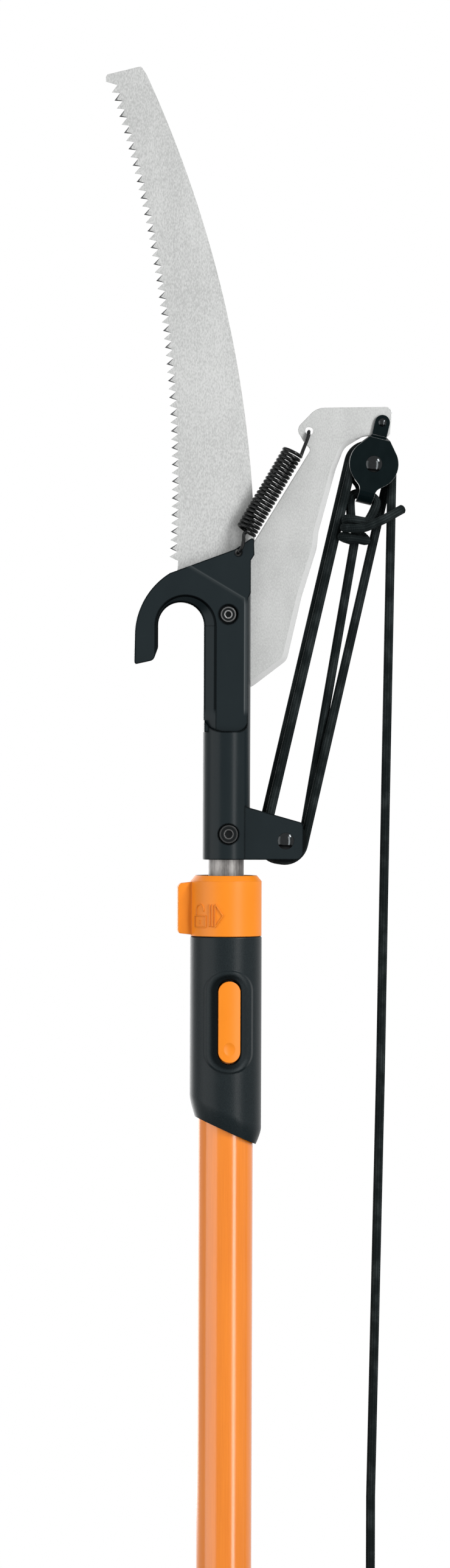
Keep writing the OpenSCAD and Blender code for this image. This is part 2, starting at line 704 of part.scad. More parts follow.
// Lever: head end round the rivet, a nose for the spring, a long arm, and the pruning blade below the pivot
rivet = [rivet_x, rivet_z];
blade_left = -socket_r + 2.3;
function shifted(p, d) = [for (q = d) [p.x + q.x, p.y + q.y, q.z]];
lever_nose = shifted(lever_hole,
  [[1.1, -13.3, 2], [-4, -7.6, 3], [-8.1, -0.6, 4], [-7.6, 3.1, 3], [5.2, 16.4, 4]]);
lever_end = shifted(rivet, [[7.6, 11.3, 4], [5.6, -9.7, 2], [-13, -9.6, 10]]);
lever_arm = [[83, 119, 12], [77, 103.6, 12], [64.9, 59.3, 20], [63.6, 47.3, 20], [52.9, 12.9, 0],
  [42.6, -31.8, 9]];
lever_blade_edge = [[18.9, -49.9, 20], [2, -58.5, 5], [blade_left, -43, 22], [blade_left, 5, 16]];
lever_arm_left = [[17.6, 49.5, 0]];
module lever_blade() {
  color("gainsboro") head_frame() difference() {
    upright(-lever_t / 2, lever_t / 2)
      polygon(rounded(concat(lever_nose, lever_end, lever_arm, lever_blade_edge, lever_arm_left)));
    pin_y(bush_d / 2, -lever_t, lever_t);
    pin_y(rivet_d / 2 + run_fit, -lever_t, lever_t, rivet.x, rivet.y);
    pin_y(spring_hole_d / 2 + 0.4, -lever_t, lever_t, lever_hole.x, lever_hole.y);
  }
}
module pivot_bush() {
  color("goldenrod") head_frame() difference() {
    pin_y(bush_d / 2, -bush_half, bush_half);
    pin_y(pivot_d / 2 + run_fit, -slot_half - past, slot_half + past);
  }
}

// Gap between a sheave and the plate beside it
sheave_side = 0.25;
// Tackle. Its line runs from the lower axle to the rivet, and the upper block hangs along it
axle_low = [lower_x, -lower_drop];
to_rivet = rivet - axle_low;
tackle_turn = atan2(to_rivet.x, to_rivet.y);
tackle_len = norm(to_rivet) - block_len;
sheave_gap = 0.1;
sheave_y = sheave_w / 2 + sheave_gap;
block_in = 2 * sheave_y - sheave_gap + sheave_side;
// Local axes of both frames: X across the strands, Z along them from the lower axle or from the rivet
module tackle_frame() {
  translate([axle_low.x, 0, pivot_z + axle_low.y]) rotate([0, tackle_turn, 0]) children();
}
module block_frame() {
  translate([rivet.x, 0, pivot_z + rivet.y]) rotate([0, tackle_turn, 0]) children();
}

// A rivet along Y with a low dome at each end
module rivet_y(d, half, dome_r, dome_h) {
  pin_y(d / 2, -half, half);
  ball = (dome_r * dome_r + dome_h * dome_h) / (2 * dome_h);
  for (s = [-1, 1]) rotate([s * 90, 0, 0]) translate([0, 0, half]) intersection() {
    cylinder(r = dome_r, h = dome_h);
    translate([0, 0, dome_h - ball]) sphere(r = ball, $fn = 48);
  }
}
rivet_d = 5;
rivet_dome = 3;
rivet_dome_h = 1.2;
axle_dome = 5.9;
dome_h = 1.8;
module lower_axle() {
  color("dimgray") head_frame() translate([axle_low.x, 0, axle_low.y])
    rivet_y(axle_d, block_in + cheek_t, axle_dome, dome_h);
}
module block_axle() {
  color("dimgray") block_frame() translate([0, 0, -block_len])
    rivet_y(axle_d, block_in + strap_t, axle_dome, dome_h);
}
tab_gap = 0.15;
tab_in = lever_t / 2 + tab_gap;
module strap_rivet() {
  color("dimgray") block_frame() rivet_y(rivet_d, tab_in + strap_t, rivet_dome, rivet_dome_h);
}

// A grooved sheave on the Y axis
module sheave(y) {
  groove_r = rope_d / 2 + face_gap;
  translate([0, y, 0]) rotate([90, 0, 0]) rotate_extrude($fn = 96) difference() {
    translate([axle_d / 2 + run_fit, -sheave_w / 2]) square([sheave_r - axle_d / 2 - run_fit, sheave_w]);
    translate([wrap_r, 0]) circle(r = groove_r, $fn = 48);
    translate([wrap_r, -groove_r]) square([sheave_r, 2 * groove_r]);
  }
}
module lower_sheave_rear() { color("black") tackle_frame() sheave(sheave_y); }
module lower_sheave_front() { color("black") tackle_frame() sheave(-sheave_y); }
module upper_sheave_rear() { color("black") block_frame() translate([0, 0, -block_len]) sheave(sheave_y); }
module upper_sheave_front() { color("black") block_frame() translate([0, 0, -block_len]) sheave(-sheave_y); }

// Folded strap of the upper block: two plates that step in to the lever at the top and join in a fold below
tab_half = 5.4;
plate_r = 17.5;
neck_half = 5.6;
joggle_top = 10.8;
joggle_foot = block_len - wrap_r - rope_d / 2 - face_gap;
fold_foot = block_len + 28;
fold_out = block_in + strap_t;
fold_c = fold_foot - fold_out;
// Right half of the strap's path seen along X, at a given distance outside its inner face, down to the fold
function strap_path(grow) = concat(
  [[tab_in + grow, tab_half + 0.1], [tab_in + grow, -joggle_top + grow / 2],
   [block_in + grow, -joggle_foot + grow / 2]],
  arc([0, -fold_c], block_in + grow, 0, -81, 9), [[0, -fold_c - block_in - grow]]);
// Both halves as one line, without the middle point twice
function flipped(p) = [for (q = p) [-q.x, q.y, q.z]];
function both(p) = concat(p, [for (i = [len(p) - 2:-1:0]) [-p[i].x, p[i].y]]);
neck_top = block_len + 18;
half_plate = concat([[tab_half, -joggle_top + 1, 0]], sharp(arc([0, -block_len], plate_r, 34, -48, 12)),
  [[neck_half, -neck_top, 6], [neck_half, -fold_foot - past, 0]]);
strap_outline = concat(sharp(arc([0, 0], tab_half, 0, 180, 16)), flipped(half_plate), reversed(half_plate));
module block_strap() {
  color([0.15, 0.17, 0.18]) block_frame() difference() {
    intersection() {
      upright(-fold_out - past, fold_out + past) polygon(rounded(strap_outline));
      translate([-plate_r - past, 0, 0]) rotate([90, 0, 90]) linear_extrude(2 * plate_r + 2 * past)
        polygon(concat(both(strap_path(strap_t)), reversed(both(strap_path(0)))));
    }
    pin_y(rivet_d / 2, -fold_out, fold_out);
    pin_y(axle_d / 2, -2 * fold_out, 2 * fold_out, 0, -block_len);
  }
}

// Ropes of the tackle, in the tackle's frame. Each part is cut at half its length
half_way = tackle_len / 2;
knot_foot = tackle_len - 54;
knot_gap = 0.8;
knot_y = -1;
wrap_steps = 10;
run_steps = 7;
function wrap(s, y, a0, a1) = [for (p = arc([0, s], wrap_r, a0, a1, wrap_steps)) [p.x, y, p.y]];
function run(a, b) = [for (i = [0:run_steps]) a + (b - a) * i / run_steps];
function tail(list) = [for (i = [1:len(list) - 1]) list[i]];
// Strand from the knot to the rear lower sheave, and strand from the rear upper to the front lower sheave
function knot_strand(s) = let (f = s / knot_foot) [wrap_r * (1 - f), sheave_y * (1 - f) + knot_y * f, s];
function cross_strand(s) = [wrap_r, -sheave_y + 2 * sheave_y * s / tackle_len, s];
module tackle_rope_lower() {
  left = -wrap_r;
  color("black") tackle_frame() {
    sweep(concat(run(knot_strand(half_way), knot_strand(0)), tail(wrap(0, sheave_y, 0, -180)),
      tail(run([left, sheave_y, 0], [left, sheave_y, half_way]))), rope_d, 8);
    sweep(concat(run(cross_strand(half_way), cross_strand(0)), tail(wrap(0, -sheave_y, 0, -180)),
      tail(run([left, -sheave_y, 0], [left, -sheave_y, half_way]))), rope_d, 8);
  }
}
module tackle_rope_upper() {
  left = -wrap_r;
  color("black") tackle_frame() {
    sweep(run(knot_strand(knot_foot - knot_gap), knot_strand(half_way)), rope_d, 8);
    sweep(concat(run([left, sheave_y, half_way], [left, sheave_y, tackle_len]),
      tail(wrap(tackle_len, sheave_y, 180, 0)),
      tail(run(cross_strand(tackle_len), cross_strand(half_way)))), rope_d, 8);
    sweep(concat(run([left, -sheave_y, half_way], [left, -sheave_y, tackle_len]),
      tail(wrap(tackle_len, -sheave_y, 180, tackle_turn))), rope_d, 8);
  }
}

// Knot of the rope's fixed end: a loop through the strap's fold, two bands and a tail
loop_s = tackle_len + block_len - fold_foot + strap_t + face_gap + rope_d / 2;
loop_path = [[-4, -4, knot_foot + 10], [-7, -1, knot_foot + 17], [-9.1, 0, loop_s - 6],
             [-8.9, 0, loop_s - 1.6], [-5.2, 0, loop_s + 0.8], [0, -0.4, loop_s + 1],
             [5.2, -0.8, loop_s + 0.8], [8.9, -1.3, loop_s - 1.6], [9.1, -1.4, loop_s - 6],
             [7, -3, knot_foot + 17], [3, -5, knot_foot + 10]];
tail_path = [[-2, -11, knot_foot + 12], [8, -13.5, knot_foot + 15], [18, -13.5, knot_foot + 21],
             [28, -13, knot_foot + 28]];
module becket_knot() {
  band_r = 6;
  color("black") tackle_frame() {
    sweep(loop_path, rope_d, 8);
    sweep(tail_path, rope_d, 8);
    for (b = [[3.6, 4], [10, -8]]) translate([0, knot_y - 3, knot_foot + b[0]]) rotate([0, b[1], 0])
      rotate_extrude($fn = 48) translate([band_r, 0]) circle(d = rope_d, $fn = 24);
    translate([0, knot_y, knot_foot]) cylinder(d = rope_d, h = 12);
  }
}

// Return spring. Its axis runs between the two spring holes, in front of the saw
spring_line = lever_hole - ear_hole;
spring_turn = atan2(spring_line.x, spring_line.y);
spring_len = norm(spring_line);
coil_r = (coil_d - wire_d) / 2;
coil_y = saw_front - face_gap - 0.1 - coil_d / 2;
coil_turns = curls + 0.25;
coil_len = coil_turns * curl_pitch;
coil_from = (spring_len - coil_len) / 2 - 1;
module spring_frame() {
  translate([ear_hole.x, 0, pivot_z + ear_hole.y]) rotate([0, spring_turn, 0]) children();
}
hook_y = -plate_front - wire_d / 2 - face_gap;
coil_path = [for (q = helix(coil_r, curl_pitch, coil_turns, 8)) [q.y, coil_y - q.x, coil_from + q.z]];
hook_tip = -slot_half - 0.6;
hook_path = [[0, hook_tip, 0], [0, hook_tip - wire_d, 0], [0, hook_y + 1.2, 0], [0, hook_y, 1.6],
             [0, hook_y, 4], [0, coil_y - coil_r, coil_from - 2.2]];
spring_path = concat(hook_path, coil_path);
echo(spring_gap = least_gap(spring_path, wire_d, 5));
module return_spring() {
  color("dimgray") spring_frame() sweep(spring_path, wire_d, 6);
}
coil_end = coil_path[len(coil_path) - 1];
module spring_top_hook() {
  y1 = lever_t / 2 + 1;
  path = [[coil_end.x, coil_y, coil_end.z + wire_d / 2 + face_gap],
          [coil_end.x, coil_y, coil_end.z + 1.5 * wire_d], [1.2, -y1 - 2.6, spring_len - 3.6],
          [0, -y1 - 1.4, spring_len - 1], [0, -y1, spring_len], [0, y1, spring_len],
          [0, y1 + wire_d, spring_len]];
  color("dimgray") spring_frame() sweep(path, wire_d, 6);
}

// Fall of the rope, from the front upper sheave down to the hank. Points are [x, height above the foot]
axle_up = rivet - block_len * [sin(tackle_turn), cos(tackle_turn)];
fall_top = [axle_up.x + wrap_r, pivot_z + axle_up.y];
fall_points = [[113, 1900], [110, 1700], [107, 1550], [105, 1450], [104, 1400], [104, 1300]];
fall_y = -sheave_y;
fall_ring = 2.5 * rope_d;
function stretch(a, b) =
  let (n = max(1, ceil(norm(b - a) / fall_ring)))
  [for (i = [1:n]) a + (b - a) * i / n];
fall_gap = 1;
fall_start = fall_top - [0, fall_gap];
fall_stops = concat([fall_start], fall_points);
fall_runs = [for (i = [1:len(fall_stops) - 1]) each stretch(fall_stops[i - 1], fall_stops[i])];
fall_line = concat([fall_start], fall_runs);
fall_path = [for (q = fall_line) [q.x, fall_y, q.y]];
module pull_rope() {
  color("black") sweep(fall_path, rope_d, 8);
}

// Hank: runs and half circles that spiral in and out through four layers, drawn in at the waist
hank_top = fall_points[len(fall_points) - 1];
hank_run = 76;
hank_out = 34;
hank_in = 21;
hank_layer = 7.2;
hank_waist = 14.5;
hank_loops = 7.25;
layer_loops = 2;
hank_c = [hank_top.x - hank_out, hank_top.y - hank_run / 2];
// Which layer a turn lies in, and how far out from the middle it runs
layer_step = 0.25;
first_layer = 1.5;
function climb(q) =
  let (c = (q - first_layer) / layer_loops, k = floor(c), f = (c - k) * layer_loops)
  k + 1 - (f < layer_step ? 1 - f / layer_step : 0);
function spiral(q) =
  let (drift = layer_loops - layer_step, c = (q - drift) / layer_loops, k = floor(c),
       f = min(1, (c - k) * layer_loops / drift), across = hank_out - hank_in)
  q < first_layer ? hank_out - across * q / first_layer :
  q < drift ? hank_in :
  k % 2 == 0 ? hank_in + across * f : hank_out - across * f;
function on_loop(q) =
  let (w = spiral(q), f = (q - floor(q)) * 4, h = hank_run / 2, a = 180 * (f - 1), b = 180 * (4 - f),
       p = f < 1 ? [w, h - f * hank_run] :
           f < 2 ? [w * cos(a), -h - w * sin(a)] :
           f < 3 ? [-w, -h + (f - 2) * hank_run] : [w * cos(b), h + w * sin(b)],
       draw = abs(p.y) < h ? hank_waist * pow(cos(90 * p.y / h), 2) : 0)
  [hank_c.x + p.x - sign(p.x) * draw, fall_y + hank_layer * climb(max(q, 0)), hank_c.y + p.y];
hank_steps = 24;
hank_path = [for (i = [0:hank_steps * hank_loops]) on_loop(i / hank_steps)];
hank_end = hank_path[len(hank_path) - 1];
tail_step = 7;
hank_tail = [for (i = [1:3]) hank_end - [0, 0, tail_step * i]];
function path_len(p) =
  let (steps = [for (i = [1:len(p) - 1]) norm(p[i] - p[i - 1])])
  steps * [for (q = steps) 1];
echo(hank_gap = least_gap(hank_path, rope_d, 6));
echo(fall_length = path_len(fall_path), hank_length = path_len(hank_path));
module rope_hank() {
  color("black") sweep(concat(hank_path, hank_tail), rope_d, 6);
}
function box_of(w, d, r) = [for (q = [[-1, -1], [1, -1], [1, 1], [-1, 1]]) [q.x * w / 2, q.y * d / 2, r]];
module hank_tie() {
  tie_h = 14;
  tie_t = 1.6;
  tie_r = 3.6;
  tie_room = 0.8;
  waist = hank_waist * pow(cos(90 * tie_h / hank_run), 2);
  w = 2 * (hank_out - waist) + rope_d + 2 * tie_room;
  d = 3 * hank_layer + rope_d + 2 * face_gap;
  color("dimgray") translate([hank_c.x, fall_y + 1.5 * hank_layer, hank_c.y - tie_h / 2])
    linear_extrude(tie_h) difference() {
      polygon(rounded(box_of(w + 2 * tie_t, d + 2 * tie_t, tie_r + tie_t)));
      polygon(rounded(box_of(w, d, tie_r)));
    }
}
module end_knot() {
  knot_r = 8;
  knot_h = 15;
  knot_tail = 18;
  foot = hank_end - [0, 0, 3 * tail_step];
  color("black") translate(foot - [0, 0, knot_h]) {
    rotate_extrude($fn = 48) intersection() {
      translate([0, knot_h / 2]) circle(r = knot_r);
      square([knot_r, knot_h]);
    }
    translate([0, 0, -knot_tail]) cylinder(d = rope_d, h = knot_tail + 2);
  }
}

outer_tube();
end_plug();
clamp_collet();
collar_clip();
grip_sleeve();
button_pin();
button_spring();
lock_button();
lock_pin();
lock_collar();
inner_tube();
guide_bush();
head_casting();
socket_screw();
socket_nut();
saw_blade();
saw_clamp();
saw_screws();
pivot_bolt();
pivot_washer();
pivot_nut();
lever_blade();
pivot_bush();
lower_axle();
lower_sheave_rear();
lower_sheave_front();
block_strap();
strap_rivet();
block_axle();
upper_sheave_rear();
upper_sheave_front();
tackle_rope_lower();
tackle_rope_upper();
becket_knot();
return_spring();
spring_top_hook();
pull_rope();
rope_hank();
hank_tie();
end_knot();
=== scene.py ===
# %% [markdown]
# # A telescoping tree pruner
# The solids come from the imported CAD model, which is the fixed frame here: metres, +Z up the pole, +X on
# the lever's side, -Y towards the viewer. This lesson dresses them. Where a solid has the right shape it
# stays and gets a finish, and where the real thing is wound, braided, ground or moulded soft, a numpy
# surface takes its place.

# %% Load the frame
import json
import bmesh
import bpy
import numpy as np
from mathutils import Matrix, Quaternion, Vector
from mathutils.geometry import tessellate_polygon

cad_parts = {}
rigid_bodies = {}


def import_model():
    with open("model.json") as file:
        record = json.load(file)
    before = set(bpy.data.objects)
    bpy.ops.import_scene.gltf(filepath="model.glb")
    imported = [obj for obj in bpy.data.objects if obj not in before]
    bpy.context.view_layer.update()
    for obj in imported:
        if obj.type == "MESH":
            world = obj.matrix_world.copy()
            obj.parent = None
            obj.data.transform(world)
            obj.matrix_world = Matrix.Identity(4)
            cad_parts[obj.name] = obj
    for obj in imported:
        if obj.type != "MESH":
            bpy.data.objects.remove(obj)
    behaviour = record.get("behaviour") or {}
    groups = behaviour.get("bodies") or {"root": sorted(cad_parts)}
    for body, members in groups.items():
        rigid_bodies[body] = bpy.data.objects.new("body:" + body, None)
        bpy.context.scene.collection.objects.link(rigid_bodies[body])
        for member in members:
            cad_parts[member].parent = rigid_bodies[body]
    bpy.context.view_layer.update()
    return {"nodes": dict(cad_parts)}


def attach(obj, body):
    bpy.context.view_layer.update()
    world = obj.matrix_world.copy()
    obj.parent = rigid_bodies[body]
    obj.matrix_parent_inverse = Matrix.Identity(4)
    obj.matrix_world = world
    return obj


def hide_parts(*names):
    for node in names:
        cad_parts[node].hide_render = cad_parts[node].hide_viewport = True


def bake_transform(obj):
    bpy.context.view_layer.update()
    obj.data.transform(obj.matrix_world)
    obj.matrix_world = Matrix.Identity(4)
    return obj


for old in list(bpy.data.objects):
    bpy.data.objects.remove(old)
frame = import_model()
nodes = frame["nodes"]
MM = 0.001

# %% [markdown]
# ## The camera
# The photograph was taken from far off, a little to the left, level with the head's socket. One picture
# pixel is 0.43 mm on the pole. A long lens at 3 m gives that scale, and a fifth of a degree of roll gives
# the slight lean that the pole has in the picture.


# %% Camera
def stand(name, data):
    """Puts a mesh, lamp or camera into the scene as an object."""
    made = bpy.data.objects.new(name, data)
    bpy.context.scene.collection.objects.link(made)
    return made


def look(made, at, way, roll=0.0):
    """Stands a camera or a lamp at a point, looking along a direction, rolled about it by an angle."""
    made.location = at
    made.rotation_mode = "QUATERNION"
    made.rotation_quaternion = way.to_track_quat("-Z", "Y") @ Quaternion((0, 0, 1), roll)


PICTURE = (740, 2576)
PIXEL = 0.43 * MM
SENSOR = 36.0
view_distance = 3.0
view_turn = np.radians(-6.0)
view_roll = np.radians(0.2)
view_middle = Vector((-0.001, 0.0, 1.9039))
lens = bpy.data.cameras.new("camera")
lens.sensor_width = SENSOR
lens.lens = SENSOR * view_distance / (PICTURE[1] * PIXEL)
camera = stand("camera", lens)
bpy.context.scene.camera = camera
towards = Vector((np.sin(view_turn), -np.cos(view_turn), 0.0))
look(camera, view_middle + towards * view_distance, -towards, view_roll)
print("lens", round(lens.lens, 1), "mm")

# %% [markdown]
# ## Shapes as arrays
# Every new piece is a few arrays: points in millimetres, the faces between them, and a pair of numbers at
# each face corner that a finish can read. A grid of points covers tubes, blades and moulded skins alike.


# %% Arrays to meshes
def unit(v):
    """Each vector divided by its length."""
    return v / np.linalg.norm(v, axis=-1, keepdims=True)


def grid(points, close_rows=False, close_cols=False, u=None):
    """Four-sided faces between neighbouring points of a (rows, columns, 3) array. The pair at a corner is
    u, which runs with the rows, and the share of the way round the columns, up to 1 at the join."""
    rows, cols = points.shape[:2]
    i, j = np.indices((rows - (not close_rows), cols - (not close_cols)))
    i, j = i[..., None] + np.array([0, 1, 1, 0]), j[..., None] + np.array([0, 0, 1, 1])
    u = np.arange(rows, dtype=float) if u is None else u
    u = np.append(u, 2 * u[-1] - u[-2])
    pairs = np.stack([u[i], j / cols], -1).reshape(-1, 2)
    faces = (i % rows) * cols + j % cols
    return points.reshape(-1, 3), faces.reshape(-1, 4).tolist(), pairs


def together(*shapes):
    """Several shapes as one: each one's faces count on from the points before it."""
    starts = np.cumsum([0] + [len(s[0]) for s in shapes])
    faces = [[n + start for n in f] for s, start in zip(shapes, starts) for f in s[1]]
    return np.concatenate([s[0] for s in shapes]), faces, np.concatenate([s[2] for s in shapes])


def piece(name, shape, finish, body, merge=1e-4, sharp=None):
    """Puts a shape into a mesh object that rides on a body: points closer than merge mm become one, and
    faces turn outwards. Edges sharper than the given angle stay crisp."""
    points, faces, pairs = shape
    mesh = bpy.data.meshes.new(name)
    mesh.from_pydata((points * MM).tolist(), [], faces)
    mesh.uv_layers.new(name="along").data.foreach_set("uv", pairs.astype(np.float32).ravel())
    work = bmesh.new()
    work.from_mesh(mesh)
    bmesh.ops.remove_doubles(work, verts=work.verts, dist=merge * MM)
    bmesh.ops.recalc_face_normals(work, faces=work.faces)
    work.to_mesh(mesh)
    work.free()
    mesh.shade_smooth()
    if sharp:
        mesh.set_sharp_from_angle(angle=np.radians(sharp))
    mesh.materials.append(finish)
    made = stand(name, mesh)
    if body:
        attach(made, body)
    print(name, len(mesh.vertices), "points,", len(mesh.polygons), "faces")
    return made


# %% [markdown]
# ## Finishes as sums
# A finish is a small graph of shader nodes. Written out node by node it is hard to read, so one class wraps
# an output socket and lets Python's own operators add the Math nodes. A finish then reads like a formula.


# %% A class for sockets
class Wire:
    """One output of a shader node. Operators on it add Math nodes, and node() adds any other kind."""

    def __init__(self, tree, socket=None):
        self.tree, self.socket = tree, socket

    def node(self, kind, settings=(), inputs=(), out=0):
        """Adds a node: its settings first, then the values or links of its inputs."""
        made = self.tree.nodes.new("ShaderNode" + kind)
        for key, value in dict(settings).items():
            setattr(made, key, value)
        for key, value in dict(inputs).items():
            if isinstance(value, Wire):
                self.tree.links.new(value.socket, made.inputs[key])
            else:
                made.inputs[key].default_value = value
        return Wire(self.tree, made.outputs[out])

    def maths(self, operation, *others):
        """A Math node on this wire and then on others, which may be plain numbers."""
        return self.node("Math", {"operation": operation}, dict(enumerate((self, *others))))

    def __add__(self, other):
        return self.maths("ADD", other)

    def __sub__(self, other):
        return self.maths("SUBTRACT", other)

    def __rsub__(self, other):
        return self.node("Math", {"operation": "SUBTRACT"}, {0: other, 1: self})

    def __mul__(self, other):
        return self.maths("MULTIPLY", other)

    def __pow__(self, other):
        return self.maths("POWER", other)

    __radd__ = __add__
    __rmul__ = __mul__

    def place(self):
        """The point on the object, in metres in the shared frame."""
        return self.node("TexCoord", out="Object")

    def axis(self, name, vector=None):
        """One part of a vector: X, Y or Z."""
        return self.node("SeparateXYZ", {}, {0: vector or self.place()}, out=name)

    def along(self, name):
        """X is the first of the pair that a new piece's corners carry, Y is the second."""
        return self.axis(name, self.node("UVMap", {"uv_map": "along"}))

    def grain(self, size, detail=2.0):
        """Noise whose blotches are about size mm along X, Y and Z."""
        scale = 1 / (np.array(size) * MM)
        stretched = self.node("VectorMath", {"operation": "MULTIPLY"}, {0: self.place(), 1: scale})
        return self.node("TexNoise", {}, {"Vector": stretched, "Scale": 1.0, "Detail": detail})

    def rise(self, low, high):
        """0 below low, 1 above high, and a smooth step between."""
        inputs = {"Value": self, "From Min": low, "From Max": high}
        return self.node("MapRange", {"interpolation_type": "SMOOTHSTEP"}, inputs)

    def mix(self, first, second):
        """From the first colour to the second as this wire goes from 0 to 1. Plain colours get full alpha."""
        first, second = (end if isinstance(end, Wire) else (*end, 1.0) for end in (first, second))
        return self.node("Mix", {"data_type": "RGBA"}, {0: self, 6: first, 7: second}, out=2)

    def edges(self, radius, low=0.02, high=0.2):
        """1 on the edges that a rounding of that many mm would take off, 0 on flat faces: 1 less the dot
        product of the rounded normal and the plain one goes from low to high."""
        inputs = {0: self.soft(radius), 1: self.node("NewGeometry", out="Normal")}
        same = self.node("VectorMath", {"operation": "DOT_PRODUCT"}, inputs, out="Value")
        return (1 - same).rise(low, high)

    def soft(self, radius):
        """The normal with its corners rounded by so many mm."""
        return self.node("Bevel", {"samples": 6}, {"Radius": radius * MM})

    def mm(self, name):
        """One part of the point on the object, in mm."""
        return self.axis(name) * (1 / MM)

    def far(self, other):
        """How far two steps at right angles lead: the root of the sum of their squares."""
        return (self * self + other * other) ** 0.5

    def bump(self, depth, strength=1.0, edge=0.0):
        """A normal from this height, depth mm deep. edge rounds the corners by that many mm."""
        inputs = {"Height": self, "Distance": depth * MM, "Strength": strength}
        if edge:
            inputs["Normal"] = self.soft(edge)
        return self.node("Bump", {}, inputs)


def coat(colour, roughness, normal):
    """What varies over most surfaces."""
    return {"Base Color": colour, "Roughness": roughness, "Normal": normal}


def one_noise(size, detail, dark, pale, least, more, *bump):
    """A paint from one noise: a tone from dark to pale, a roughness of least and a share of more, a bump."""
    def paint(w):
        marks = w.grain(size, detail)
        return coat(marks.mix(dark, pale), marks * more + least, marks.bump(*bump))
    return paint


def finish(name, paint, specular=0.5, metallic=0.0, glow=0.0):
    """A material: paint gives what varies over the surface, the rest are the shader's constant sockets."""
    material = bpy.data.materials.new(name)
    material.use_nodes = True
    tree = material.node_tree
    shader = tree.nodes["Principled BSDF"]
    fixed = {"Specular IOR Level": specular, "Metallic": metallic, "Emission Strength": glow}
    for key, value in fixed.items():
        shader.inputs[key].default_value = value
    for key, value in paint(Wire(tree)).items():
        tree.links.new(value.socket, shader.inputs[key])
    print(name, "has", len(tree.nodes), "shader nodes")
    return material


# %% [markdown]
# ## The rope
# The rope is a limp black braid, 6.5 mm thick. It could be a bevelled curve, but a tube of our own carries
# its length along as a coordinate, so the braid follows the rope round the sheaves and through the knot.


# %% Tubes along a path
ROPE = 6.5


def spline(stops, step):
    """A smooth line through the stops, with points about step mm apart: on each stretch a cubic leaves and
    arrives along the line between the neighbours (Catmull-Rom), then the points are spread evenly."""
    stops = np.asarray(stops, float)
    ends = np.concatenate([[2 * stops[0] - stops[1]], stops, [2 * stops[-1] - stops[-2]]])
    t = np.linspace(0, 1, 24, endpoint=False)[:, None]
    a, b, c, d = (ends[k:len(ends) - 3 + k][:, None] for k in range(4))
    square, cube = 2 * a - 5 * b + 4 * c - d, 3 * b - a - 3 * c + d
    fine = 0.5 * (2 * b + (c - a) * t + square * t**2 + cube * t**3)
    return even(np.concatenate([fine.reshape(-1, stops.shape[1]), stops[-1:]]), step)


def lengths(path):
    """How far along the path each of its points is."""
    return np.append(0, np.cumsum(np.linalg.norm(np.diff(path, axis=0), axis=1)))


def even(path, step):
    """The same line with points about step mm apart."""
    far = lengths(path)
    at = np.linspace(0, far[-1], max(2, int(round(far[-1] / step)) + 1))
    return np.stack([np.interp(at, far, column) for column in path.T], 1)


def tube(path, radius=ROPE / 2, side=(0, 1, 0), around=12):
    """A round section carried along a path. Each ring lies square to the path, and its first point looks
    along side as far as the path's direction lets it. The radius may change from ring to ring."""
    ahead = unit(np.gradient(path, axis=0))
    side = np.broadcast_to(np.asarray(side, float), path.shape)
    across = unit(side - (side * ahead).sum(1, keepdims=True) * ahead)
    other = np.cross(ahead, across)
    turn = (2 * np.pi * np.arange(around) / around)[None, :, None]
    radius = np.broadcast_to(radius, len(path))[:, None, None]
    ring = np.cos(turn) * across[:, None] + np.sin(turn) * other[:, None]
    points, faces, pairs = grid(path[:, None] + radius * ring, close_cols=True, u=lengths(path))
    count = len(points)
    faces += [list(range(around)), list(range(count - around, count))]
    return points, faces, np.concatenate([pairs, np.zeros((2 * around, 2))])


def circle(angle):
    """The points of the unit circle at the given angles."""
    return np.stack([np.cos(angle), np.sin(angle)], -1)


def barrel(radius, angle, height):
    """Points round an axis along Z: at a radius, at an angle from the front and at a height."""
    radius, angle, height = np.broadcast_arrays(radius, angle, height)
    return np.stack([radius * np.sin(angle), -radius * np.cos(angle), height], -1)


def turned(points, turn, origin):
    """Points of a frame that is turned about Y by so many degrees, with its origin put at a point."""
    c, s = circle(np.radians(turn))
    x, y, z = np.moveaxis(np.asarray(points, float), -1, 0)
    return np.stack([x * c + z * s, y, z * c - x * s], -1) + origin


# %% Braid finish
BRAID_STEP = 1.7
BRAID_STRANDS = 5.0


def braid(w):
    """Knots of yarn where two sets cross: the product of two waves that run round the rope left and right.
    The raised yarn is paler, partly from wear and partly as a painted highlight.
    """
    far, about = w.along("X") * (2 * np.pi / BRAID_STEP), w.along("Y") * (2 * np.pi * BRAID_STRANDS)
    height = (far + about).maths("SINE") * (far - about).maths("SINE") * 0.5 + 0.5
    height = height + w.grain((0.5, 0.5, 0.5)) * 0.3
    # Paler crests: partly wear from a slow noise, partly a painted highlight on the raised yarn
    worn_and_lit = (w.grain((9, 9, 14), 3.0).rise(0.4, 0.75) * 0.75 + 0.25) * height
    return coat(worn_and_lit.mix((0.0028, 0.0046, 0.0048), (0.03, 0.037, 0.038)),
                0.9 - height * 0.2, height.bump(0.3))


rope_braid = finish("rope_braid", braid, specular=0.03)

# %% [markdown]
# ## The fall
# The free end of the rope hangs from the upper block down beside the pole. The photograph shows about
# 0.76 m of it. The rest, which reaches the hand when the pole is drawn out, is put away in a tied hank just
# below the picture. Its points are those of the part's source.

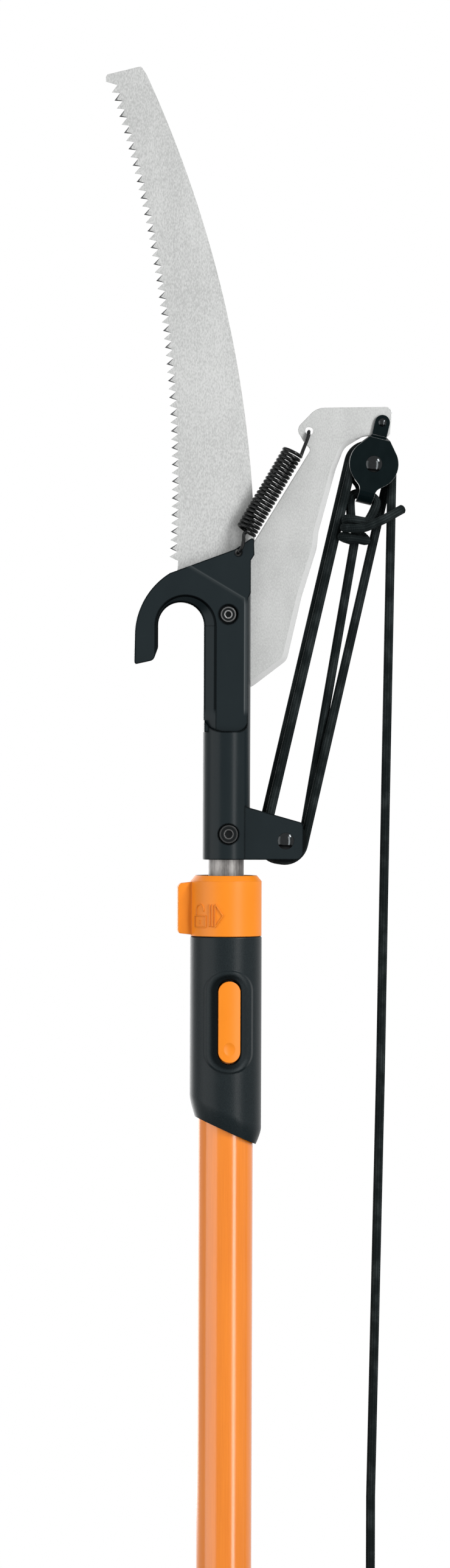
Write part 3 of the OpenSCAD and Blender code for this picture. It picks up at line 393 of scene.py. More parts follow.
# %% Points of the fall and the hank
PIVOT_Z = 2023.4
SHEAVE_Y = 4.6
WRAP = 13.8
rivet_at = np.array([110.0, 0.0, PIVOT_Z + 137])
low_axle = np.array([41.0, 0.0, PIVOT_Z - 159.5])
BLOCK = 30.9
line = rivet_at - low_axle
TACKLE_TURN = np.degrees(np.arctan2(line[0], line[2]))
TACKLE = np.linalg.norm(line) - BLOCK
high_axle = turned([0, 0, -BLOCK], TACKLE_TURN, rivet_at)
FALL_GAP = 1.0
fall_top = high_axle + [WRAP, -SHEAVE_Y, -FALL_GAP]
fall_stops = np.array([[113, 1900], [110, 1700], [107, 1550], [105, 1450], [104, 1400], [104, 1300]], float)
fall_stops = np.insert(fall_stops, 1, -SHEAVE_Y, axis=1)
fall_line = even(np.concatenate([[fall_top], fall_stops]), 2.5)

HANK_RUN, HANK_OUT, HANK_IN, HANK_LAYER, HANK_WAIST, HANK_LOOPS = 76.0, 34.0, 21.0, 7.2, 14.5, 7.25
FIRST_LAYER, LAYER_LOOPS, LAYER_STEP = 1.5, 2.0, 0.25
HANK_STEPS, HANK_TAIL = 96, 21.0
hank_middle = fall_stops[-1, [0, 2]] - [HANK_OUT, HANK_RUN / 2]


def hank(loops):
    """Where the rope is after so many loops. A loop is two straight runs and two half circles. It spirals in
    and out, climbs one layer after every second loop, and its runs draw in towards the tied waist."""
    climb = (loops - FIRST_LAYER) / LAYER_LOOPS
    since = (climb - np.floor(climb)) * LAYER_LOOPS
    layer = np.maximum(0, np.floor(climb) + 1 - np.maximum(0, 1 - since / LAYER_STEP))
    drift, across = LAYER_LOOPS - LAYER_STEP, HANK_OUT - HANK_IN
    spiral = (loops - drift) / LAYER_LOOPS
    share = np.minimum(1, (spiral - np.floor(spiral)) * LAYER_LOOPS / drift)
    wide = np.where(np.floor(spiral) % 2 == 0, HANK_IN + across * share, HANK_OUT - across * share)
    wide = np.select([loops < FIRST_LAYER, loops < drift],
                     [HANK_OUT - across * loops / FIRST_LAYER, HANK_IN], wide)
    quarter, half = (loops % 1) * 4, HANK_RUN / 2
    low, high = wide * circle(np.pi * (quarter - 1)).T, wide * circle(np.pi * (4 - quarter)).T
    parts = [quarter < 1, quarter < 2, quarter < 3]
    down, up = half - quarter * HANK_RUN, (quarter - 2) * HANK_RUN - half
    x = np.select(parts, [wide, low[0], -wide], high[0])
    z = np.select(parts, [down, -half - low[1], up], half + high[1])
    draw = np.where(abs(z) < half, HANK_WAIST * np.cos(np.pi / 2 * z / half) ** 2, 0)
    y = HANK_LAYER * layer - SHEAVE_Y
    return np.stack([hank_middle[0] + x - np.sign(x) * draw, y, hank_middle[1] + z], 1)


hank_line = hank(np.arange(int(HANK_LOOPS * HANK_STEPS) + 1) / HANK_STEPS)
hank_tail = hank_line[-1] - np.outer(np.linspace(0, HANK_TAIL, 8)[1:], [0, 0, 1])
fall_path = np.concatenate([fall_line[:-1], hank_line, hank_tail])

# %% Fall rope and its stopper knot
fall_rope = piece("fall_rope", tube(fall_path), rope_braid, "fall")
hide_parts("pull_rope", "rope_hank")
STOPPER_TURNS, STOPPER_R, STOPPER_DROP, STOPPER_TALL = 2.35, 4.75, 3.4, 8.2
TUCK_TURN, TUCK_LEAST = 1.2, 0.15
CORE_TOP, CORE_END = 2.0, -33.0


def stopper(foot):
    """A barrel knot: two and a third turns of rope round its own end, then the tail. Both ends of the turns
    tuck in towards the middle."""
    turn = np.linspace(0, 2 * np.pi * STOPPER_TURNS, 110)
    reach = STOPPER_R * np.minimum(1, np.minimum(turn, turn[-1] - turn) / TUCK_TURN + TUCK_LEAST)
    drop = STOPPER_DROP + STOPPER_TALL * turn / turn[-1]
    wound = np.column_stack([reach[:, None] * circle(turn), -drop])
    core = np.linspace((0, 0, CORE_TOP), (0, 0, CORE_END), 24)
    return together(tube(wound + foot, side=(0, 0, 1)), tube(core + foot))


stopper_knot = piece("stopper_knot", stopper(hank_tail[-1]), rope_braid, "fall")
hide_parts("end_knot")


# %% [markdown]
# The tie is a flat woven strap closed on itself. A ring with straight sides would do, but a band carried
# round a rounded box has the strap's bulged edges too.

# %% Tie
ROW_WAVE, PICK_WAVE = 5200.0, 3600.0


def webbing(w):
    """Rows of flat yarns across the strap: two waves of different pitch multiplied, and a little fuzz."""
    rows, picks = (w.axis("Z") * ROW_WAVE).maths("SINE"), (w.axis("X") * PICK_WAVE).maths("SINE")
    height = rows * picks * 0.5 + 0.5
    shade = w.grain((3, 3, 3), 3.0) * 0.6 + height * 0.4
    return coat(shade.mix((0.01, 0.011, 0.011), (0.035, 0.036, 0.037)),
                0.85 - height * 0.15, height.bump(0.2))


def strap_round(wide, deep, corner, thick, tall, middle):
    """A closed band round a box with rounded corners: the path is a circle whose quarters move out to the
    box's corners, and the section is a flat rectangle with bulged edges."""
    out = circle(np.linspace(0, 2 * np.pi, 96, endpoint=False))
    core = np.sign(out) * [wide / 2 - corner, deep / 2 - corner]
    lift = np.array([0.0, 0.6, 1.0, 1.0, 0.6, 0.0]) * thick
    height = np.array([-0.5, -0.5, -0.42, 0.42, 0.5, 0.5]) * tall
    flat = core[:, None] + out[:, None] * (corner + lift[None, :, None])
    rings = np.dstack([flat, np.broadcast_to(height, flat.shape[:2])])
    return grid(rings + middle, close_rows=True, close_cols=True)


strap_weave = finish("strap_weave", webbing, specular=0.25)
tie_middle = np.array([hank_middle[0], 1.5 * HANK_LAYER - SHEAVE_Y, hank_middle[1]])
TIE, TIE_CORNER, TIE_THICK = 14.0, 3.6, 1.6
ROOM_WIDE, ROOM_DEEP = 1.6, 0.6
tie_waist = HANK_WAIST * np.cos(np.pi / 2 * TIE / HANK_RUN) ** 2
tie_wide, tie_deep = 2 * (HANK_OUT - tie_waist) + ROPE + ROOM_WIDE, 3 * HANK_LAYER + ROPE + ROOM_DEEP
tie_band = strap_round(tie_wide, tie_deep, TIE_CORNER, TIE_THICK, TIE, tie_middle)
hank_strap = piece("hank_strap", tie_band, strap_weave, "fall")
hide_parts("hank_tie")

# %% [markdown]
# ## The tackle
# From the knot the rope goes down and round the rear lower sheave, up and over the rear upper one, down
# again to the front lower one, up over the front upper one and away as the fall. It is one line, so it is
# one tube. On the left its strands stand a little off the sheaves, the rear ones most.

# %% Tackle rope
KNOT_DROP, KNOT_Y, KNOT_LAP = 54.0, -1.0, 4.0
KNOT_FOOT = TACKLE - KNOT_DROP
REAR_SLACK, FRONT_SLACK = 2.4, 0.6


def wrap(height, depth, first, last, slack):
    """Part of a circle round a sheave, from one angle to another. On the left it stands off by the slack."""
    x, z = circle(np.radians(np.linspace(first, last, 30))).T
    radius = WRAP + slack * np.maximum(-x, 0)
    return np.stack([radius * x, 0 * x + depth, height + radius * z], 1)


tackle_line = np.concatenate([
    [[0, KNOT_Y, KNOT_FOOT + KNOT_LAP]],
    wrap(0, SHEAVE_Y, 0, -180, REAR_SLACK), wrap(TACKLE, SHEAVE_Y, 180, 0, REAR_SLACK),
    wrap(0, -SHEAVE_Y, 0, -180, FRONT_SLACK), wrap(TACKLE, -SHEAVE_Y, 180, TACKLE_TURN, FRONT_SLACK)])


def on_tackle(points):
    """Points of the tackle's own frame, whose z runs from the lower axle to the upper one."""
    return turned(points, TACKLE_TURN, low_axle)


tackle_tube = tube(on_tackle(even(tackle_line, 2.0)))
tackle_rope = piece("tackle_rope", tackle_tube, rope_braid, None)
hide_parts("tackle_rope_lower", "tackle_rope_upper")
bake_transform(tackle_rope)

# %% [markdown]
# The fixed end is tied to the fold of the upper block's strap: a loop through the fold, then two turns
# round the loop's legs and the standing part. The end comes out on the left between the two turns, crosses
# in front of the upper one and sticks out on the right as the tail. A lump would do for a far view, but
# here two tubes along listed points show how the rope lies.

# %% Becket knot
FOLD_DROP, STRAP_THICK, FACE_GAP = 28.0, 2.0, 0.3
LOOP_TOP = KNOT_DROP - FOLD_DROP + STRAP_THICK + FACE_GAP + ROPE / 2
loop_stops = [[-4, -4, 8], [-7, -1.6, 17], [-9.1, 0, LOOP_TOP - 6], [-8.7, 0, LOOP_TOP - 1.8],
              [-4.6, -0.2, LOOP_TOP + 0.9], [0, -0.4, LOOP_TOP + 1.1], [4.6, -0.8, LOOP_TOP + 0.9],
              [8.7, -1.3, LOOP_TOP - 1.8], [9.1, -1.4, LOOP_TOP - 6], [7, -3, 17], [3, -5, 8]]
# Half turns from the back by way of the left and the front, then the height and the depth that each adds
turn_stops = np.array([[0.5, -1.4, 0], [1, -1.2, 0], [1.5, -0.4, 0], [2, 1.0, 0], [2.5, 6.0, 0], [3, 11.2, 0],
                       [3.5, 12.4, 0], [4, 13.2, 0], [4.5, 10.0, 0], [5, 5.2, -1.6], [5.4, 5.8, -4.6]])
half_turns, turn_rise, turn_out = spline(turn_stops, 0.08).T
TURNS_X, TURNS_Y, TURNS_WIDE, TURNS_DEEP, TURNS_SKEW = -1.2, -6.4, 9.0, 5.2, 3.2
sideways, rearward = circle(half_turns * np.pi).T
turn_y = TURNS_Y + TURNS_DEEP * rearward + TURNS_SKEW * sideways + turn_out
turns = np.stack([TURNS_X + TURNS_WIDE * sideways, turn_y, turn_rise], 1)
tail_stops = [turns[-1], [2.5, -16.2, 8.0], [8, -16.6, 11.6], [14, -16.2, 16.2], [19, -15.2, 20.6],
              [24, -13.9, 25.2], [27.6, -12.8, 28.4]]
tail_line = even(np.concatenate([turns[:-1], spline(tail_stops, 1.0)]), 1.0)
TAIL_BLUNT = 0.6
to_end = lengths(tail_line)[-1] - lengths(tail_line)
tail_round = ROPE / 2 * np.sqrt(np.clip((to_end + TAIL_BLUNT) / (2 * TAIL_BLUNT), 0, 1))
raised = np.array([0, 0, KNOT_FOOT])
knot = together(tube(on_tackle(spline(loop_stops, 1.0) + raised)),
                tube(on_tackle(tail_line + raised), tail_round, (-0.3, 0.15, 0.94)))
becket = piece("becket_tie", knot, rope_braid, "upper_block")
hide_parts("becket_knot")

# %% [markdown]
# ## The return spring
# A close-wound pull spring of dark wire lifts the lever. A helix with a hook at each end is one line, so it
# is one tube as well. The coil hangs a little to the left of the line between its holes. The rings look along
# the coil's radius, which is never in line with the wire.

# %% Spring
WIRE, COIL, COIL_ACROSS, CURLS, CURL_PITCH, CURL_POINTS = 2.6, 6.65, 15.5, 22.25, 2.95, 28
SAW_FRONT, SAW_GAP, EAR_FRONT = 1.8, 0.4, -9.5
ear_hole = np.array([7.0, 0.0, PIVOT_Z + 43.6])
lever_hole = np.array([58.0, 0.0, PIVOT_Z + 130.6])
reach = lever_hole - ear_hole
SPRING_TURN = np.degrees(np.arctan2(reach[0], reach[2]))
SPRING = np.linalg.norm(reach)
COIL_X, COIL_LOWER = -2.8, 2.0
COIL_Y = SAW_FRONT - SAW_GAP - COIL_ACROSS / 2
COIL_FROM = (SPRING - CURLS * CURL_PITCH) / 2 - COIL_LOWER
HOOK_Y = EAR_FRONT - WIRE / 2 - FACE_GAP
curl = np.linspace(0, 2 * np.pi * CURLS, int(CURLS * CURL_POINTS) + 1)
climb = COIL_FROM + CURL_PITCH * curl / (2 * np.pi)
coil_line, coil_side = barrel(COIL, curl, climb) + [COIL_X, COIL_Y, 0], barrel(1, curl, 0)
front = COIL_Y - COIL
low_hook = spline([
    [0, -2.4, 0], [0, -6, 0], [0, HOOK_Y + 0.9, 0.2], [0, HOOK_Y, 1.6], [0, HOOK_Y - 0.6, 4.6],
    [-1.2, -12, 8.4], [COIL_X - 0.6, front + 0.6, COIL_FROM - 2.8], [COIL_X, front, COIL_FROM - 0.4]], 0.7)
RIGHT, END, TOP = COIL_X + COIL, climb[-1], SPRING - 0.6
high_hook = spline([
    coil_line[-1], [RIGHT - 0.2, COIL_Y + 1.3, END + 0.5], [RIGHT - 0.4, COIL_Y + 2.0, END + 2.2],
    [RIGHT - 1.0, COIL_Y + 1.9, END + 5.4], [1.2, -4.9, SPRING - 4.4], [0.3, -3.9, SPRING - 2.0],
    [0, -2.7, TOP - 0.5], [0, -1.2, TOP], [0, 1.6, TOP], [0, 3.6, TOP - 0.4]], 0.7)
spring_line = np.concatenate([low_hook[:-1], coil_line, high_hook[1:]])
spring_side = np.concatenate([np.tile([1.0, -0.2, 0.1], (len(low_hook) - 1, 1)), coil_side,
                              np.tile([1.0, -0.2, -0.1], (len(high_hook) - 1, 1))])
spring_path = turned(spring_line, SPRING_TURN, ear_hole)
spring_faces = turned(spring_side, SPRING_TURN, np.zeros(3))
spring_tube = tube(spring_path, WIRE / 2, spring_faces, around=10)


def oiled_wire(w):
    """Dark oiled wire with paler rubbed spots."""
    spots = w.grain((1.2, 1.2, 1.2), 3.0)
    return coat(spots.rise(0.45, 0.7).mix((0.002, 0.0024, 0.0026), (0.006, 0.0066, 0.007)),
                0.14 + spots * 0.16, spots.bump(0.02))


dark_wire = finish("dark_wire", oiled_wire, specular=0.16)
return_coil = piece("return_coil", spring_tube, dark_wire, None)
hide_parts("return_spring", "spring_top_hook")
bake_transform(return_coil)

# %% [markdown]
# ## The saw
# A pruning saw is a thin steel blade, brushed along its length, whose teeth are ground on alternate sides:
# one shows its bevels to the viewer, the next shows its flat. A plain extrusion has no bevels. So the blade
# is a flat plate up to the line of the tooth roots, and the teeth are a grid of four columns a tooth:
# valley, flank, tip, flank.


# %% Flat plates with holes
def upright(flat, y):
    """An outline of x and height over the pivot, stood up at a depth or at a depth for each point."""
    return np.stack([flat[:, 0], np.broadcast_to(y, len(flat)), flat[:, 1] + PIVOT_Z], 1)


def holes_at(places, front, rear):
    """The front and rear rim of each round hole along Y, from its x, height over the pivot and radius."""
    rim = circle(np.linspace(0, 2 * np.pi, 40, endpoint=False))
    return [[upright(rim * radius + [x, z], y) for y in (front, rear)] for x, z, radius in places]


def plate(loops, holes):
    """A plate from outline loops of equal length: the first and last are filled with triangles that leave
    the holes out, neighbouring ones are joined by walls, and each hole gets its own wall."""
    shapes = [grid(np.stack(rims), close_cols=True) for rims in (loops, *holes)]
    for side in (0, -1):
        outlines = [loops[side]] + [rims[side] for rims in holes]
        faces = tessellate_polygon([[Vector((x, z, 0)) for x, _, z in line] for line in outlines])
        pairs = np.zeros((3 * len(faces), 2))
        shapes.append((np.concatenate(outlines), [list(f) for f in faces], pairs))
    return together(*shapes)


MOST = 0.48


def rounded(corners, steps=8):
    """An outline whose corners (x, z, radius, ...) are rounded: each corner gives way to an arc that touches
    both its sides and takes no more than MOST of the shorter. Further columns go on to the arc's points."""
    corners = np.asarray(corners, float)
    at = corners[:, :2]
    back, on = np.roll(at, 1, 0) - at, np.roll(at, -1, 0) - at
    reach = MOST * np.minimum(np.linalg.norm(back, axis=1), np.linalg.norm(on, axis=1))
    back, on = unit(back), unit(on)
    half = np.arccos(np.clip((back * on).sum(1), -1, 1)) / 2
    cut = np.minimum(corners[:, 2] / np.tan(half), reach)
    radius = cut * np.tan(half)
    middle = at + unit(back + on) * (radius / np.sin(half))[:, None]
    first, last = (at + way * cut[:, None] - middle for way in (back, on))
    start = np.arctan2(first[:, 1], first[:, 0])
    sweep = np.arctan2(first[:, 0] * last[:, 1] - first[:, 1] * last[:, 0], (first * last).sum(1))
    angle = start[:, None] + sweep[:, None] * np.linspace(0, 1, steps + 1)
    arc = middle[:, None] + radius[:, None, None] * circle(angle)
    extra = np.repeat(corners[:, None, 3:], steps + 1, axis=1)
    line = np.concatenate([arc, extra], 2).reshape(-1, corners.shape[1] - 1)
    return line[np.linalg.norm(line[:, :2] - np.roll(line[:, :2], 1, 0), axis=1) > 1e-3]


# %% Tooth line and back
SAW_THICK, ROOT_BAND, FIRST_DROP, LAST_TOOTH = 1.4, 0.9, 7.0, 30.0
saw_rear = SAW_FRONT + SAW_THICK
SAW_H, SAW_BEAK, BEAK_FOOT, BACK_FOOT = 386.6, 11.0, 12.0, 52.0
TOOTH_R, TOOTH_PITCH, TOOTH_DEEP, TOOTH_LEAN = 904.0, 5.92, 5.4, 0.9
BACK_R = 822.0
tooth_middle = np.array([-39.3 - TOOTH_R, 91.2])
back_middle = np.array([19.9 - BACK_R, 31.1])
tooth_step = TOOTH_PITCH / TOOTH_R
tooth_ends = np.array([SAW_H - SAW_BEAK - FIRST_DROP, LAST_TOOTH])
first_tooth, last_tooth = np.arcsin((tooth_ends - tooth_middle[1]) / TOOTH_R)
TEETH = int((first_tooth - last_tooth) / tooth_step)


def on_teeth(angle, deep):
    """A point of the blade that lies so far behind the tooth tips, whose circle bulges to the right."""
    radius = np.broadcast_to(TOOTH_R + deep, np.shape(angle))
    return tooth_middle + radius[..., None] * circle(angle)


def back_at(z):
    """The point of the blade's back at a height."""
    return np.stack([back_middle[0] + np.sqrt(BACK_R**2 - (z - back_middle[1]) ** 2), z], -1)


valley = first_tooth + tooth_step * (0.5 - np.arange(TEETH + 1))
tips = first_tooth - tooth_step * np.arange(TEETH) - TOOTH_LEAN / TOOTH_R
column = np.stack([valley[:-1], (valley[:-1] + tips) / 2, tips, (tips + valley[1:]) / 2], 1).ravel()
column = np.append(column, valley[-1])
depth = np.append(np.tile([1.0, 0.5, 0.0, 0.5], TEETH), 1.0) * TOOTH_DEEP
ROOT = TOOTH_DEEP + ROOT_BAND
ground = np.append(np.tile([0.0, 1.0, 1.0, 1.0], TEETH), 0.0)
odd = np.append(np.repeat(np.arange(TEETH) % 2, 4), 0) * ground
even_teeth = ground - odd
BEVEL_LEAST, BEVEL_MORE, BEVEL_OVER = 0.04, 0.26, 0.8


def tooth_rows(bevelled, face, edge):
    """Three rows of one side of the teeth: the ground edge, which leans over towards the other side where the
    tooth is bevelled, the inner line of the bevel, and the root line."""
    inner = depth + (ROOT - depth) * (BEVEL_LEAST + BEVEL_MORE * bevelled)
    ground_edge = upright(on_teeth(column, depth), face + (edge - face) * BEVEL_OVER * bevelled)
    return np.stack([ground_edge, *(upright(on_teeth(column, d), face) for d in (inner, ROOT))])


front_rows, rear_rows = tooth_rows(odd, SAW_FRONT, saw_rear), tooth_rows(even_teeth, saw_rear, SAW_FRONT)
# The rows' first numbers mark the front tooth edges, where the saw's finish paints shade
bevel_shade_mark = np.array([0.0, 0.0, 1.0, 0.0, 0.0, 0.0])
teeth_shape = grid(np.concatenate([front_rows[::-1], rear_rows]), u=bevel_shade_mark)
beak_x = on_teeth(first_tooth, 0.0)[0] - 4
back_x, back_top = back_at(SAW_H - 6)
beak = rounded([[beak_x, SAW_H - SAW_BEAK, 1], [beak_x, SAW_H - 6.5, 2.2], [back_x - 4, SAW_H, 2.2],
                [back_x, back_top, 1], [*back_at(SAW_H - BEAK_FOOT), 0], [back_x - 20, SAW_H - 40, 0]])
beak = beak[beak[:, 1] > SAW_H - BEAK_FOOT - 0.5]
back = back_at(np.linspace(SAW_H - BEAK_FOOT, BACK_FOOT, 60)[1:])
tang = np.array([[15, 30], [13, -4], [6, -13], [-6, -13], [-13.5, -8], [-16, 8.5], [-36, 18]], float)
roots, first_valley = on_teeth(column, ROOT)[::-1], on_teeth(column[:1], depth[:1])
print(TEETH, "teeth, blade", round(SAW_H), "mm above the pivot")


# %% Saw blade
def brushed(w):
    """Fine ground steel: short specks along the blade, a cloud of slow tone, and painted shade, dark, on the
    ground tooth bevels where the mesh marks them."""
    streaks, cloud = w.grain((0.8, 0.8, 1.8), 3.0), w.grain((30, 30, 60), 2.0)
    tone = streaks * 0.75 + cloud * 0.25
    plain = tone.rise(0.3, 0.7).mix((0.335, 0.34, 0.335), (0.465, 0.47, 0.465))
    # Painted shade: the marked tooth bevels go dark
    return coat(w.along("X").rise(0.05, 0.4).mix(plain, (0.07, 0.072, 0.075)),
                streaks * 0.2 + 0.34, streaks.bump(0.03))


saw_steel = finish("saw_steel", brushed, metallic=0.4, specular=0.3)
SAW_HOLES = ((0, 0, 4.05), (-22, 22, 2.55), (-8, 32, 2.55))
outline = np.concatenate([beak, back, tang, roots, first_valley])
blade = plate([upright(outline, y) for y in (SAW_FRONT, saw_rear)], holes_at(SAW_HOLES, SAW_FRONT, saw_rear))
saw_shape = together(blade, teeth_shape)
saw = piece("pruning_saw", saw_shape, saw_steel, "head", merge=0.01, sharp=12)
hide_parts("saw_blade")

# %% [markdown]
# ## The lever
# The lever is cut from 3 mm plate and brushed. Its cutting side, from the block down round the blade's
# belly, is ground to a bevel, and the finish paints its band paler as a painted reflection. A Bevel
# modifier would cut all edges alike. So the outline carries the band's width from corner to corner, and a
# second loop lies that far inside it.

# %% Lever
LEVER_HALF, BEVEL_SLOPE, REAR_EDGE, GROUND_FROM = 1.5, 0.25, 0.3, 1.5
LEVER_HOLES = ((0, 0, 6.0), (110, 137, 2.55), (58, 130.6, 2.9))
# x, height over the pivot, corner radius and width of the ground band
lever_corners = [
    [59.1, 117.3, 2, 0.5], [54, 123, 3, 0.5], [49.9, 130, 5, 0.5], [50.4, 133.7, 5, 0.5],
    [63.2, 147, 14, 0.5], [117.6, 148.3, 4, 0.5], [115.6, 127.3, 2, 0.5], [97, 127.4, 10, 0.6],
    [83, 119, 12, 3.6], [77, 103.6, 12, 3.7], [64.9, 59.3, 20, 3.7], [63.6, 47.3, 20, 3.7],
    [52.9, 12.9, 0, 3.7], [42.6, -31.8, 9, 3.7], [18.9, -49.9, 20, 3.7], [2, -58.5, 5, 3.0],
    [-14.5, -43, 22, 0.5], [-14.5, 5, 16, 0.5], [17.6, 49.5, 0, 0.5]]
lever_line = rounded(lever_corners)
lever_line = even(np.concatenate([lever_line, lever_line[:1]]), 1.2)[:-1]
shape2d, band = lever_line[:, :2], lever_line[:, 2]
ahead = unit(np.roll(shape2d, -1, 0) - np.roll(shape2d, 1, 0))
inward = np.stack([ahead[:, 1], -ahead[:, 0]], 1)
lever_loops = [upright(shape2d + inward * band[:, None], -LEVER_HALF),
               upright(shape2d, BEVEL_SLOPE * band - LEVER_HALF),
               upright(shape2d, LEVER_HALF - REAR_EDGE), upright(shape2d + inward * REAR_EDGE, LEVER_HALF)]
lever_shape = plate(lever_loops, holes_at(LEVER_HOLES, -LEVER_HALF, LEVER_HALF))
# The first strip of faces is the bevel: its corners say whether they are ground, and ground ones get a
# painted reflection
lever_pairs = lever_shape[2]
lever_pairs[:, 0] = 0
lever_pairs[:4 * len(band), 0] = np.repeat(band > GROUND_FROM, 4)


def brushed_lever(w):
    """The same ground steel, with a painted reflection as a paler band where the mesh marks the bevel, and
    painted shade as dark lines along the edges.
    """
    streaks, cloud, mark = w.grain((0.7, 0.7, 1.4), 3.0), w.grain((24, 24, 40), 2.0), w.along("X")
    tone = streaks * 0.65 + cloud * 0.35
    plain = tone.rise(0.3, 0.7).mix((0.325, 0.33, 0.325), (0.425, 0.43, 0.425))
    # Painted shade: dark lines along all the lever's edges
    edge_shade = w.edges(0.35, 0.01, 0.08) * 0.7
    # Painted reflection: the marked ground band is paler
    return coat(edge_shade.mix(mark.mix(plain, (0.46, 0.463, 0.46)), (0.2, 0.2, 0.2)),
                streaks * 0.18 + 0.34 + mark * 0.3, streaks.bump(0.015))


lever_steel = finish("lever_steel", brushed_lever, metallic=0.4, specular=0.3)
lever = piece("pruning_lever", lever_shape, lever_steel, "lever", merge=0.01, sharp=9)
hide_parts("lever_blade")

# %% [markdown]
# ## The casting and its hardware
# The head is a die casting with a satin black coat. The CAD solid has its shape, so it stays and only gets a
# finish: a fine orange-peel, and corners that the coat rounds. Masks worked out from the point's place paint
# a highlight along the front's crease, and shade along the edges and round the hook's mouth.


# %% Coat of the casting
MOUTH_X, MOUTH_Z, MOUTH_R = -33.15, -8.05, 16.35
BEVEL_WIDE, BEVEL_GROWS = 4.4, 0.13
CREASE_X, STEM_FOOT = 11.6, -70.0
SLANT_X, SLANT_Z, SLANT_FAR = 0.505, 0.863, 15.8


def on_front(w):
    """X and Z in mm from the pivot, and a mask that is 1 on the casting's front alone."""
    x, y, z = w.mm("X"), w.mm("Y"), w.mm("Z") - PIVOT_Z
    return x, z, (1 - y.rise(-4.5, -3.5)) * z.rise(STEM_FOOT - 2, STEM_FOOT + 4)


def painted_crease_highlight(w):
    """How much painted highlight lies along the front's crease, which runs up the stem's right edge and then
    slants to the left: the farther of two half planes gives the distance from it, positive on its right."""
    x, z, front = on_front(w)
    far = (x - CREASE_X).maths("MAXIMUM", x * SLANT_X + z * SLANT_Z - SLANT_FAR)
    stem = 1 - z.rise(6.0, 12.0)
    line = (1 - far.maths("ABSOLUTE").rise(0.2, 0.7)) * (stem * 0.65 + 0.2)
    right = far.rise(0.2, 0.6) * (1 - far.rise(1.8, 2.4)) * stem * 0.3
    left = far.rise(-2.8, -0.2) * (1 - far.rise(-0.2, 0.3)) * (1 - stem) * 0.2
    return (line + right + left) * front


def mouth_lines(w):
    """Painted shade: dark lines at both edges of the bevel round the hook's mouth, and a light shade across
    the bevel. The mouth is a half circle over two straight sides, so the distance from it leaves out the
    height below the circle's middle. The bevel widens to the right."""
    x, z, front = on_front(w)
    across, above = x - MOUTH_X, (z - MOUTH_Z).maths("MAXIMUM", 0.0)
    far = across.far(above) - MOUTH_R
    outer = far - across * BEVEL_GROWS - BEVEL_WIDE
    inside = (1 - far.rise(0.7, 1.8)).maths("MAXIMUM", (1 - outer.rise(0.0, 0.6)) * 0.25)
    line = 1 - outer.maths("ABSOLUTE").rise(0.5, 1.1)
    return inside.maths("MAXIMUM", line) * front


def coated(w):
    """Black coat: a fine peel, a slow change of gloss, painted shade as dull dark lines along the edges and
    round the hook's mouth (as a dark metal it has no gloss of its own), and a painted highlight along the
    crease."""
    peel, cloud = w.grain((0.7, 0.7, 0.7), 2.0), w.grain((18, 18, 30), 3.0)
    plain = cloud.mix((0.0068, 0.0112, 0.0132), (0.009, 0.0142, 0.0164))
    crease_light, lines = painted_crease_highlight(w), w.edges(1.6, 0.003, 0.022)
    # Painted shade: dark lines without gloss along the edges and round the mouth, except where the crease
    # highlight lies
    dark = lines.maths("MAXIMUM", mouth_lines(w)) * 0.85 * (1 - crease_light.rise(0.0, 0.1))
    edged = dark.mix(plain, (0.0006, 0.0009, 0.001))
    # Painted highlight: the crease goes paler
    crease_lit_coat = crease_light.mix(edged, (0.075, 0.084, 0.087))
    return coat(crease_lit_coat, cloud * 0.1 + 0.24, peel.bump(0.02, 0.6, edge=0.8)) | {"Metallic": dark}


def wear(material, *names):
    """Gives CAD nodes their finish."""
    for name in names:
        nodes[name].data.materials.clear()
        nodes[name].data.materials.append(material)
    print(material.name, "on", len(names), "nodes")


wear(finish("satin_coat", coated, specular=0.1), "head_casting")


# %% [markdown]
# The block's strap and the rivets are blackened steel, and the strap's edges get a painted highlight. The two
# screws on the front get a painted highlight in rings round their rims and recesses. These are the CAD solids
# too. Bevel nodes in their finishes round the corners, which costs no faces.

# %% Strap, domes and screws
SOCKET_SCREW = PIVOT_Z - 154.8


def black_strap(w):
    """Blackened pressed steel: smoother than the casting, with a painted highlight along its edges."""
    cloud = w.grain((5, 5, 9), 3.0)
    plain = cloud.mix((0.0015, 0.0042, 0.0048), (0.0035, 0.0072, 0.0082))
    # Painted highlight: the edges go pale grey
    return coat((w.edges(0.5) * 0.8).mix(plain, (0.34, 0.345, 0.345)),
                cloud * 0.12 + 0.14, cloud.bump(0.02, 0.5, edge=0.4))


def screw_face(z, rim, recess, bright):
    """A dark screw at a height on the pole's axis, with a painted highlight: a bright ring inside its rim and
    a pale edge round its recess, both by the distance from its middle."""
    def paint(w):
        far, marks = w.mm("X").far(w.mm("Z") - z), w.grain((0.5, 3.0, 0.5), 2.0)
        ring = far.rise(rim - 1.3, rim - 0.9) * (1 - far.rise(rim - 0.5, rim - 0.1))
        lip = far.rise(recess - 0.3, recess) * (1 - far.rise(recess + 0.4, recess + 0.9))
        # Painted highlight rings, broken up by noise
        tone = (ring * 0.45 + lip) * (marks * 0.8 + 0.4)
        return coat(tone.mix((0.006, 0.0075, 0.008), (bright, bright, bright)),
                    marks * 0.15 + 0.12, marks.bump(0.02, 0.5, edge=0.8))
    return paint


